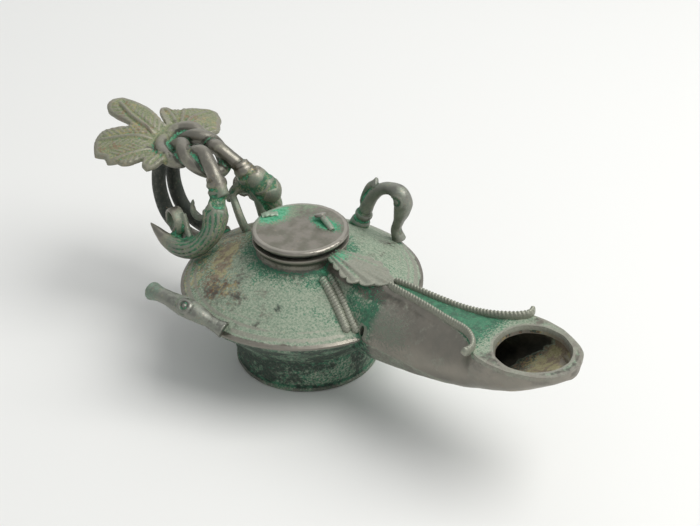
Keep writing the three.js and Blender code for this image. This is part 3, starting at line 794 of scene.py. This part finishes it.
def leaf_height(x, y, side):
    """Height of a leaf's middle surface above a place in plan."""
    centre = LEAF_CENTRE[side]
    out = np.maximum(0, -side * y - 2)
    near = ((x - centre[0]) ** 2 + (y - centre[1]) ** 2) / LEAF_DIP_REACH ** 2
    return LEAF_TOP - LEAF_DROOP[side] * out + 0.06 * (-x - 62) - LEAF_DIP * np.exp(-near)


def leaf_plate(side, edge, count=220, rows=26):
    """A closed plate: rows of points from the centre out to the edge above, and back below.

    Between the rows of the table the edge runs straight in angle and distance.
    """
    table = np.array(sorted(edge), float)
    table[:, 0] = np.radians(table[:, 0])
    angle = table[0, 0] + 2 * PI * np.arange(count) / count
    reach = np.interp(angle, table[:, 0], table[:, 1])
    share = np.concatenate([np.linspace(0.04, 1, rows), [1.0, 1.0], np.linspace(0.97, 0.04, rows)])
    lift = np.concatenate([np.full(rows, 1.0), [0.5, -0.5], np.full(rows, -1.0)])[:, None]
    lift = lift * np.concatenate([np.ones(rows - 1), [0.75, 1, 1, 0.75], np.ones(rows - 1)])[:, None]
    centre = LEAF_CENTRE[side]
    x = centre[0] + share[:, None] * reach * np.cos(angle)
    y = centre[1] + share[:, None] * reach * np.sin(angle)
    return shell(np.stack([x, y, leaf_height(x, y, side) + LEAF_THICKNESS / 2 * lift], axis=-1))


leaf_parts = [leaf_plate(1, NEAR_EDGE), leaf_plate(-1, FAR_EDGE)]
handle = melted("knotted_handle", knot_parts + leg_parts + leaf_parts, HANDLE_VOXEL, 2)
print("handle:", len(handle.data.polygons), "faces")

# %% Veins and folds on the leaves
# Each vein: side, direction in degrees, how far it runs, and how far it bends.
VEINS = [(1, 178, 31, 3.0), (1, 219, 28, -1.0), (1, 246, 24, 1.0), (1, 283, 17, 0.0),
         (-1, 118, 30, 2.0), (-1, 152, 22, -1.0), (-1, 88, 17, 0.0), (-1, 135, 26, 0.0)]


def carve_leaves(piece):
    """Lifts the skin along the veins, cuts a fine groove beside each, and adds slanting side veins."""
    points, normals = points_of(piece), normals_of(piece)
    x, y, z = points.T
    move = np.zeros(len(points))
    for side in (1, -1):
        centre = LEAF_CENTRE[side]
        dx, dy = x - centre[0], y - centre[1]
        above = np.abs(z - leaf_height(x, y, side) - 1.0) < 1.3
        radius = np.hypot(dx, dy)
        on_leaf = above * (normals[:, 2] > 0.3) * (side * y < 3) * ease(radius, 7, 10) * (x < -52)
        nearest = np.full(len(points), 9.0)
        for vein_side, direction, reach, bend in VEINS:
            if vein_side != side:
                continue
            a = math.radians(direction)
            forward = dx * math.cos(a) + dy * math.sin(a)
            beside = -dx * math.sin(a) + dy * math.cos(a) - bend * np.sin(PI * np.clip(forward / reach, 0, 1))
            live = (forward > 0) * (1 - ease(forward, reach - 2, reach))
            nearest = np.where(live > 0, np.minimum(nearest, np.abs(beside)), nearest)
            move += on_leaf * live * (0.5 * np.exp(-(beside / 0.7) ** 2) - 0.42
                                      * np.exp(-((np.abs(beside) - 1.2) / 0.4) ** 2))
            rib_wave = np.cos(2 * PI * (forward - 0.9 * np.abs(beside)) / 2.1)
            move += on_leaf * live * 0.13 * rib_wave * np.exp(-((np.abs(beside) - 3.2) / 2.2) ** 2)
    return points + normals * move[:, None]


move_points(handle, carve_leaves(handle))

# %% [markdown]
# ## The duck-headed side lugs
# The far lug is whole: a ringed neck bends over into a head, and the bill reaches down to the bowl's edge.
# The near one broke off its base and was bent down along the edge. Both are sweeps with a changing girth.

# %% Ducks
DUCK_VOXEL = 0.3
FAR_DUCK = [(-4.8, 33.4, 33.8), (-3.2, 33.6, 36.9), (-1.3, 34.1, 41.7), (0.1, 34.5, 45.6), (2.1, 35, 49.3),
            (5.2, 35.4, 52.6), (9.4, 35.9, 54.2), (12.8, 36.3, 53.6), (14.3, 36.8, 50.6), (13.5, 37.2, 46.6),
            (11.6, 37.7, 41.5), (10, 38.1, 36.4), (11, 38.6, 32.6)]
FAR_GIRTH = [(0, 3.9), (0.08, 3.7), (0.095, 3.2), (0.1, 2.7), (0.115, 2.7), (0.13, 3.4), (0.15, 3.4),
             (0.165, 2.7),
             (0.2, 2.6), (0.3, 2.4), (0.42, 2.3), (0.5, 2.4), (0.58, 3.2), (0.66, 3.5), (0.74, 3.0),
             (0.82, 2.1),
             (0.88, 1.9), (0.95, 2.3), (1, 2.7)]
FIN = [(-2.8, 34.2, 43.0), (-1.8, 34.8, 47.4), (0.4, 35.4, 51.6), (3.0, 35.8, 54.6)]
NEAR_DUCK = [(3.8, -40.6, 31.8), (1.2, -41.4, 32.8), (-2.6, -42.2, 34.0), (-7.6, -43.2, 35.4),
             (-14.6, -44.6, 36.6),
             (-20.6, -45.0, 36.8), (-26.4, -44.8, 36.0)]
NEAR_GIRTH = [(0, 3.1), (0.08, 2.4), (0.17, 2.2), (0.3, 3.0), (0.42, 3.5), (0.52, 3.6), (0.62, 3.1),
              (0.72, 2.7),
              (0.85, 2.6), (0.93, 2.9), (1, 3.4)]


def duck(knots, girth, count=150, around=44, flat=0.94):
    """A neck, head and bill in one sweep, the girth being read along its length."""
    radius = along_table(girth, np.linspace(0, 1, count))
    return shell(swept(smooth_path(knots, count), radius, radius * flat, around))


fin = ribbon(FIN, [(0, 0.6), (0.2, 1.7), (1, 2.0)], [(0, 0.5), (1, 0.8)], (0.6, 0, 0.8))
duck_far = melted("duck_far", [duck(FAR_DUCK, FAR_GIRTH), fin], DUCK_VOXEL, 2)
duck_near = melted("duck_near", [duck(NEAR_DUCK, NEAR_GIRTH)], DUCK_VOXEL, 1)


def head_marks(piece, eye, outward, ring=1.5):
    """A round eye in relief: a ball in a ring-shaped groove, on the side of the head that faces `outward`."""
    points, normals = points_of(piece), normals_of(piece)
    away = points - np.array(eye)
    distance = np.linalg.norm(away, axis=1)
    facing = ease(normals @ unit(np.array(outward, float)), 0.1, 0.5)
    move = facing * (0.3 * np.exp(-(distance / 0.7) ** 2) - 0.35 * np.exp(-((distance - ring) / 0.35) ** 2)
                     + 0.22 * np.exp(-((distance - ring - 0.8) / 0.4) ** 2))
    move_points(piece, points + normals * move[:, None])


head_marks(duck_far, (13.6, 33.6, 51.4), (0.2, -1, 0.3))
head_marks(duck_near, (-9.5, -45.6, 38.0), (0.1, -0.6, 0.8), 1.2)
print("ducks:", len(duck_far.data.polygons), len(duck_near.data.polygons), "faces")

# %% [markdown]
# ## Where the patina gathers
# Corrosion stays in the hollows, and hands wear the high places bright. To know which is which, every
# point compares itself with the skin around it: if the neighbours' middle lies above its own surface, the
# point is in a hollow. The neighbours are gathered by adding all points, weighed by area, into a grid of
# small cubes and blurring it, so that a crevice between two pieces counts as well.

# %% Hollows and ridges
PIECES = {
    "body": body, "ridge_far": ridge_far, "ridge_near": ridge_near, "ribs": shoulder_ribs,
    "root_leaf": root_leaf,
    "lid": lid, "handle": handle, "duck_far": duck_far, "duck_near": duck_near,
}
for piece in PIECES.values():
    smooth_shaded(piece)


def area_of_points(piece):
    """A third of the area of every triangle that meets at each point."""
    mesh = piece.data
    mesh.calc_loop_triangles()
    corners = np.empty(3 * len(mesh.loop_triangles), np.int32)
    mesh.loop_triangles.foreach_get("vertices", corners)
    corners = corners.reshape(-1, 3)
    a, b, c = points_of(piece)[corners].transpose(1, 0, 2)
    area = np.linalg.norm(np.cross(b - a, c - a), axis=1) / 6
    return np.bincount(corners.ravel(), np.repeat(area, 3), len(mesh.vertices))


def blurred(field, reach, axis):
    """Mean over 2·reach+1 cells along one axis, from the difference of two running sums."""
    total = np.cumsum(field, axis=axis, dtype=np.float64)
    total = np.concatenate([np.zeros_like(np.take(total, [0], axis)), total], axis=axis)
    count = field.shape[axis]
    high = np.minimum(np.arange(count) + reach + 1, count)
    low = np.maximum(np.arange(count) - reach, 0)
    return ((np.take(total, high, axis) - np.take(total, low, axis)) / (2 * reach + 1)).astype(np.float32)


def hollowness(points, normals, areas, cell, reach):
    """How far, in mm, the middle of the skin around each point lies above the point's own surface."""
    low = points.min(axis=0) - cell * (3 * reach + 2)
    shape = tuple(((points.max(axis=0) - low) / cell + 3 * reach + 4).astype(int))
    where = (points - low) / cell - 0.5
    corner = np.floor(where).astype(int)
    share = where - corner
    around_it = []
    for step in itertools.product((0, 1), repeat=3):
        flat = np.ravel_multi_index((corner + step).T, shape)
        around_it.append((flat, np.prod(np.where(np.array(step) == 1, share, 1 - share), axis=1)))
    middle = np.zeros_like(points)
    weight = None
    for k in (None, 0, 1, 2):
        field = np.zeros(int(np.prod(shape)), np.float64)
        amount = areas if k is None else areas * points[:, k]
        for flat, part in around_it:
            field += np.bincount(flat, amount * part, field.size)
        field = field.reshape(shape).astype(np.float32)
        for _ in range(2):
            for axis in range(3):
                field = blurred(field, reach, axis)
        field = field.ravel()
        read = sum(field[flat] * part for flat, part in around_it)
        if k is None:
            weight = np.maximum(read, 1e-9)
        else:
            middle[:, k] = read / weight
    return ((middle - points) * normals).sum(axis=1)


all_points = {name: points_of(piece) for name, piece in PIECES.items()}
every_point = np.concatenate(list(all_points.values()))
every_normal = np.concatenate([normals_of(piece) for piece in PIECES.values()])
every_area = np.concatenate([area_of_points(piece) for piece in PIECES.values()])
fine = hollowness(every_point, every_normal, every_area, 0.6, 1)
broad = hollowness(every_point, every_normal, every_area, 1.0, 3)
print("hollows measured at", len(every_point), "points; fine", np.percentile(fine, [1, 50, 99]).round(3),
      "broad", np.percentile(broad, [1, 50, 99]).round(3))

# %% [markdown]
# ## What lies where
# Six numbers from 0 to 1 are stored at every point and steer the finish: `film` for the grey-green skin
# over bare bronze, `green` for malachite, `mint` for its bright powder, `earth` for tan and reddish spots,
# `dark` for black-green crust, which also lays painted shade on the handle's rear rods, under the lid's rim
# and deep in the wick hole, and `rub` for edges that hands have polished. They come from the hollows
# measured above and from soft spots placed where this lamp has them.

# %% Spots and masks
MASKS = ("film", "green", "mint", "earth", "dark", "rub")


def spot(points, centre, size):
    """1 at the centre, falling like a bell to nothing; size is one number or one for each axis."""
    away = (points - np.array(centre, float)) / np.array(size, float)
    return np.exp(-(away ** 2).sum(axis=-1))


def near_line(points, start, end, width):
    """1 on the straight line from start to end, falling like a bell across it."""
    start, end = np.array(start, float), np.array(end, float)
    share = np.clip(((points - start) @ (end - start)) / ((end - start) @ (end - start)), 0, 1)
    away = np.linalg.norm(points - start - share[:, None] * (end - start), axis=1)
    return np.exp(-(away / width) ** 2)


def store(piece, values):
    """Writes each mask as a number at every point of the piece."""
    count = len(piece.data.vertices)
    for key in MASKS:
        attribute = piece.data.attributes.new(key, "FLOAT", "POINT")
        value = np.clip(np.broadcast_to(values.get(key, 0.0), (count,)), 0, 1)
        attribute.data.foreach_set("value", value.astype(np.float32))


cuts = np.cumsum([0] + [len(p) for p in all_points.values()])
hollow_of = {name: (fine[a:b], broad[a:b]) for name, a, b in zip(all_points, cuts[:-1], cuts[1:])}


def wear(name):
    """(crevice, deep, crest) of a piece: small hollows, wide hollows and exposed edges, each from 0 to 1."""
    small, wide = hollow_of[name]
    return ease(small, 0.02, 0.16), ease(wide, 0.1, 0.9), ease(-small, 0.03, 0.14)


def body_masks(name):
    """Shoulder pale green, foot dark green, nozzle's flanks bare; green beside the collar, leaf and ribs."""
    p = all_points[name]
    x, y, z = p.T
    crevice, deep, crest = wear(name)
    radius = np.hypot(x, y)
    patchy = rough(p, 6.0, 61)
    fine_patch = rough(p, 2.4, 64)
    flank = ease(x, 40, 46) * ease(z, 15, 20)
    on_top = flank * ease(z, 46.0, 46.5)
    shoulder = (1 - flank) * ease(z, 30.8, 31.5) * (1 - ease(z, 42, 43))
    foot = 1 - ease(z, 29.0, 30.6)
    film = 0.75 * shoulder + 0.25 * flank + 0.9 * foot + 0.3 * patchy
    film = film + 0.5 * on_top * (1 - ease(x, 84, 92)) + 0.3 * on_top
    beside_collar = (1 - ease(radius, 17, 25)) * shoulder
    rear = ease(-x, 8, 30) * shoulder
    green = 0.15 + 0.75 * deep + 0.35 * crevice + 0.5 * beside_collar + 0.3 * rear + 0.35 * patchy * shoulder
    green = green * (1 - 0.75 * flank) + 0.75 * on_top * (1 - ease(x, 78, 92)) + 0.55 * near_line(
        p, (36, -9, 38), (52, -12, 38), 9)
    green = green + 0.35 * foot
    mint = 0.2 * green + 0.4 * deep + 0.25 * fine_patch * (1 - flank)
    dark = 0.55 * foot + 0.5 * foot * patchy + 0.6 * near_line(p, (88, -15, 45), (110, -9, 45.5), 2.4)
    dark = dark + spot(p, (14.3, -25.9, 38.2), 1.7)
    earth = 0.25 * fine_patch + 0.5 * rear + 0.5 * near_line(p, (-24, -12, 41), (-16, -22, 38), 5)
    earth = earth + 0.6 * spot(p, (101, -5, 40), (9, 9, 5))
    scar = spot(p, (-9, -29.5, 36.5), (10, 6, 8))
    inside = (z < 46.5) * (np.hypot(x - WICK_CENTRE, y) < WICK_RADIUS + 0.6) * (x > 80)
    film = np.where(inside, 0.9, film)
    earth = np.where(inside, 0.5 + 0.5 * ease(x, 92, 100), earth)
    # Painted shade: deep in the wick hole, the rear part where the channel runs on under the deck is made
    # dark.
    dark = np.where(inside, 0.9 * (1 - ease(x, 90, 97)), dark)
    green = np.where(inside, 0.35 * ease(y, 0, 8), green)
    rub = crest * (1 - 0.5 * foot) + 0.8 * flank * (1 - on_top) * ease(-y, 2, 8)
    return {"film": film - 0.25 * scar, "green": green, "mint": mint, "dark": dark, "earth": earth + 0.5
            * scar, "rub": rub}


def relief_masks(name):
    """Ribs, ridges and leaf: pale crests over malachite grooves."""
    p = all_points[name]
    crevice, deep, crest = wear(name)
    patchy = rough(p, 3.0, 71)
    near_collar = 1 - ease(p[:, 0], 18, 26)
    return {"film": 0.75 + 0.3 * patchy, "green": 0.15 + 0.7 * crevice + 0.5 * deep + 0.3 * patchy,
            "mint": 0.1 + 0.5 * near_collar + 0.3 * crevice, "earth": 0.15 + 0.2 * patchy,
            "dark": 0.2 * deep, "rub": 0.75 * crest}


def lid_masks(name):
    """The lid is worn nearly bare in front; mint patina lies round the stub and the fallen peg; the rim's
    underside is painted dark as shade.
    """
    p = all_points[name]
    x, y, z = p.T
    crevice, deep, crest = wear(name)
    rear = ease(-x + 0.4 * y, 2, 14)
    around_peg = spot(p, (5, 7.4, 51), (7, 3.5, 3)) + spot(p, (-13.5, -1, 51), (6, 6, 3))
    film = 0.2 + 0.45 * rear + 0.25 * rough(p, 4, 81)
    mint = 0.95 * around_peg + 0.3 * crevice + 0.5 * spot(p, (-14, 4, 51), (4, 8, 3))
    # Painted shade: below about 50 mm, under the rim, the lid is made dark.
    under = 1 - ease(z, 49.6, 50.2)
    return {"film": film + 0.5 * around_peg, "green": 0.9 * around_peg + 0.5 * deep, "mint": mint,
            "earth": 0.1 + spot(p, (-13.6, -1.1, 52.2), 2.0), "dark": 0.75 * under + 0.3 * deep, "rub": crest}


def handle_masks(name):
    """Rods bare and bright on top, malachite between them; leaves olive; calyxes green; rear rods painted
    dark as shade.
    """
    p = all_points[name]
    x, y, z = p.T
    crevice, deep, crest = wear(name)
    patchy = rough(p, 3.5, 91)
    leaf = ease(-x, 62, 68) * ease(z, 52, 56)
    leaf = np.maximum(leaf, ease(np.abs(y), 9, 12) * ease(z, 52, 56) * ease(-x, 48, 52))
    # Painted shade: `rear` marks the rear rods below the leaves, which are made dark as if in shadow.
    rear = ease(-x, 50, 56) * (1 - ease(z, 54, 60))
    calyx_zone = ease(x, -46, -40) * (1 - ease(z, 57, 60))
    low = 1 - ease(z, 36, 44)
    film = 0.25 + 0.6 * leaf + 0.7 * calyx_zone + 0.35 * patchy + 0.4 * deep
    green = 0.05 + 0.95 * deep + 0.35 * crevice + 0.55 * calyx_zone + 0.3 * patchy - 0.35 * leaf
    mint = 0.05 + 0.55 * crevice + 0.35 * deep + 0.2 * patchy - 0.2 * leaf
    earth = 0.1 + 0.45 * leaf * (0.5 + patchy) + 0.45 * spot(p, (-34, -6.5, 58.5),
                                                             3.5) + 0.4 * spot(p, (-33, 7, 58), 4)
    # Painted shade: the rear rods get dark crust colour and less rubbed brightness for their shadow; the low
    # parts are darker towards the bottom.
    dark = 0.85 * rear + 0.35 * low + 0.3 * calyx_zone * (0.4 + patchy)
    return {"film": film, "green": green, "mint": mint, "earth": earth, "dark": dark, "rub": crest
            * (1 - 0.6 * rear)}


def duck_masks(name):
    """Green in the rings and at the solder, grey on the neck and head where hands rubbed them."""
    p = all_points[name]
    crevice, deep, crest = wear(name)
    patchy = rough(p, 3.0, 95)
    base = (1 - ease(p[:, 0], -3, 2)) if name == "duck_far" else (1 - ease(p[:, 0], -24, -19))
    return {"film": 0.45 + 0.4 * patchy + 0.3 * base, "green": 0.15 + 0.6 * base + 0.5 * crevice + 0.6
            * deep + 0.3 * patchy,
            "mint": 0.1 + 0.3 * base + 0.4 * crevice, "earth": 0.2 + 0.3 * patchy, "dark": 0.35 * deep
            + 0.25, "rub": crest}


MASKS_OF = {"body": body_masks, "lid": lid_masks, "handle": handle_masks, "duck_far": duck_masks,
            "duck_near": duck_masks}
for name, piece in PIECES.items():
    store(piece, MASKS_OF.get(name, relief_masks)(name))

# %% [markdown]
# ## Old bronze as a material
# The finish is built in layers, as it formed: bare bronze, a grey-green film, malachite, its mint powder,
# earth and black crust; the black crust layer also serves as painted shade where the masks lay it. Each mask
# is compared with fine noise, so that one layer breaks up into specks where it meets the next, instead of
# fading. Bare metal is smooth and metallic, corrosion is dull.

# %% Node tools
def linear(red, green, blue):
    """A screen colour of 0 to 255 as the linear colour that a shader wants."""
    part = np.array([red, green, blue]) / 255
    return (*np.where(part <= 0.04045, part / 12.92, ((part + 0.055) / 1.055) ** 2.4), 1.0)


class Tree:
    """Short calls for the nodes that the bronze is made of."""

    def __init__(self, name):
        self.material = bpy.data.materials.new(name)
        self.material.use_nodes = True
        self.nodes = self.material.node_tree.nodes
        self.links = self.material.node_tree.links
        self.shader = self.nodes["Principled BSDF"]
        self.place = self.nodes.new("ShaderNodeTexCoord").outputs["Object"]

    def set(self, socket, value):
        """Links a socket to an output, or writes a plain value into it."""
        if isinstance(value, bpy.types.NodeSocket):
            self.links.new(value, socket)
        else:
            socket.default_value = value

    def mask(self, key):
        node = self.nodes.new("ShaderNodeAttribute")
        node.attribute_name = key
        return node.outputs["Fac"]

    def noise(self, size, detail=3.0, roughness=0.6):
        """Noise from 0 to 1 whose patches are about `size` mm wide."""
        node = self.nodes.new("ShaderNodeTexNoise")
        self.links.new(self.place, node.inputs["Vector"])
        node.inputs["Scale"].default_value = 1 / (size * MM)
        node.inputs["Detail"].default_value = detail
        node.inputs["Roughness"].default_value = roughness
        return node.outputs["Fac"]

    def math(self, operation, a, b=0.0, c=0.0):
        node = self.nodes.new("ShaderNodeMath")
        node.operation = operation
        for socket, value in zip(node.inputs, (a, b, c)):
            self.set(socket, value)
        return node.outputs[0]

    def step(self, value, low, high):
        """0 below low, 1 above high, eased between."""
        node = self.nodes.new("ShaderNodeMapRange")
        node.interpolation_type = "SMOOTHSTEP"
        for key, number in (("Value", value), ("From Min", low), ("From Max", high)):
            self.set(node.inputs[key], number)
        return node.outputs["Result"]

    def mix(self, share, a, b):
        node = self.nodes.new("ShaderNodeMix")
        node.data_type = "RGBA"
        self.set(node.inputs["Factor"], share)
        self.set(node.inputs["A"], a)
        self.set(node.inputs["B"], b)
        return node.outputs["Result"]

    def broken(self, key, noise, spread, soft=0.12):
        """A mask broken up by noise: 1 where mask + spread·(noise - 0.5) is above a half."""
        raised = self.math("MULTIPLY_ADD", self.math("SUBTRACT", noise, 0.5), spread, self.mask(key))
        return self.step(raised, 0.5 - soft, 0.5 + soft)


# %% The bronze
MALACHITE, MALACHITE_DEEP = (44, 118, 86), (24, 84, 62)
MINT, MINT_DEEP = (96, 178, 140), (52, 150, 108)
EARTH_TAN, EARTH_RED = (168, 150, 104), (128, 92, 74)
CRUST_AND_PAINTED_SHADE = (34, 44, 38)
ROUGH_CORRODED = 0.72


def bronze(name, bare, bare_dark, film_pale, film_dark, rough_bare=0.38):
    """A layered old bronze; the four colours are those of the metal and of its thin grey-green film."""
    tree = Tree(name)
    coarse, middle = tree.noise(5.0), tree.noise(1.6, 4)
    small, grain = tree.noise(0.7, 4, 0.7), tree.noise(0.3, 2)
    film = tree.broken("film", middle, 1.1, 0.2)
    green = tree.broken("green", small, 1.5, 0.15)
    mint = tree.broken("mint", small, 2.0, 0.1)
    earth = tree.broken("earth", tree.noise(0.95, 3, 0.7), 2.2, 0.08)
    dark = tree.broken("dark", middle, 1.4, 0.25)
    colour = tree.mix(tree.step(coarse, 0.35, 0.65), linear(*bare), linear(*bare_dark))
    colour = tree.mix(tree.math("MULTIPLY", film, 0.9), colour,
                      tree.mix(tree.step(small, 0.35, 0.65), linear(*film_pale), linear(*film_dark)))
    colour = tree.mix(tree.math("MULTIPLY", green, 0.85), colour,
                      tree.mix(tree.step(middle, 0.35, 0.65), linear(*MALACHITE), linear(*MALACHITE_DEEP)))
    # The black crust colour, laid by the dark mask, is real crust in places and painted shade in others.
    colour = tree.mix(tree.math("MULTIPLY", dark, 0.85), colour, linear(*CRUST_AND_PAINTED_SHADE))
    colour = tree.mix(tree.math("MULTIPLY", earth, 0.6), colour,
                      tree.mix(tree.step(coarse, 0.45, 0.55), linear(*EARTH_TAN), linear(*EARTH_RED)))
    colour = tree.mix(tree.math("MULTIPLY", mint, 0.75), colour,
                      tree.mix(tree.step(middle, 0.4, 0.6), linear(*MINT), linear(*MINT_DEEP)))
    rub = tree.math("MULTIPLY", tree.broken("rub", middle, 0.7, 0.25), 0.6)
    colour = tree.mix(rub, colour, linear(*[min(255, c + 34) for c in bare]))
    tree.set(tree.shader.inputs["Base Color"], colour)
    corroded = tree.math("MAXIMUM", tree.math("MAXIMUM", film, green), tree.math("MAXIMUM", dark, mint))
    bared = tree.math("MAXIMUM", tree.math("SUBTRACT", 1.0, corroded), rub)
    tree.set(tree.shader.inputs["Metallic"], tree.math("MULTIPLY", bared, 0.8))
    speck = tree.math("MULTIPLY_ADD", grain, 0.2, -0.1)
    even = tree.math("MULTIPLY_ADD", bared, rough_bare - ROUGH_CORRODED, ROUGH_CORRODED)
    tree.set(tree.shader.inputs["Roughness"], tree.math("ADD", even, speck))
    relief = tree.math("MULTIPLY", tree.math("MULTIPLY_ADD", corroded, 0.85, 0.15),
                       tree.math("ADD", tree.math("MULTIPLY", small, 0.7), tree.math("MULTIPLY", grain, 0.4)))
    bump = tree.nodes.new("ShaderNodeBump")
    bump.inputs["Strength"].default_value = 0.55
    bump.inputs["Distance"].default_value = 0.25 * MM
    tree.set(bump.inputs["Height"], relief)
    tree.set(tree.shader.inputs["Normal"], bump.outputs["Normal"])
    return tree.material


BODY_BRONZE = bronze("body bronze", (122, 117, 107), (96, 96, 88), (158, 168, 148), (112, 134, 114))
LID_BRONZE = bronze("lid bronze", (134, 129, 120), (112, 110, 98), (134, 146, 122), (104, 124, 104), 0.34)
HANDLE_BRONZE = bronze("handle bronze", (118, 114, 104), (84, 86, 78), (142, 146, 112), (104, 116, 86))
LUG_BRONZE = bronze("lug bronze", (116, 116, 108), (84, 90, 82), (138, 152, 128), (84, 110, 88))
MATERIAL_OF = {"lid": LID_BRONZE, "handle": HANDLE_BRONZE, "duck_far": LUG_BRONZE, "duck_near": LUG_BRONZE}
NODE_OF = {"body": "lamp_body", "lid": "lid", "handle": "handle", "duck_far": "duck_lug_far",
           "duck_near": "duck_lug_near"}
for name, piece in PIECES.items():
    piece.data.materials.clear()
    piece.data.materials.append(MATERIAL_OF.get(name, BODY_BRONZE))
    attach(piece, "root")
    if name in NODE_OF:
        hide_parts(NODE_OF[name])

# %% [markdown]
# ## The floor and the end
# The floor is a pale sheet, large enough to fill the view.

# %% Floor
FLOOR_SIZE = 6.0
floor_mesh = bpy.data.meshes.new("floor")
corners = [(sx * FLOOR_SIZE / 2, sy * FLOOR_SIZE / 2, 0.0) for sx, sy in ((-1, -1), (1, -1), (1, 1), (-1, 1))]
floor_mesh.from_pydata(corners, [], [(0, 1, 2, 3)])
floor = bpy.data.objects.new("floor", floor_mesh)
bpy.context.collection.objects.link(floor)
paper = bpy.data.materials.new("pale paper")
paper.use_nodes = True
paper.node_tree.nodes["Principled BSDF"].inputs["Base Color"].default_value = linear(232, 232, 230)
paper.node_tree.nodes["Principled BSDF"].inputs["Roughness"].default_value = 0.9
floor_mesh.materials.append(paper)
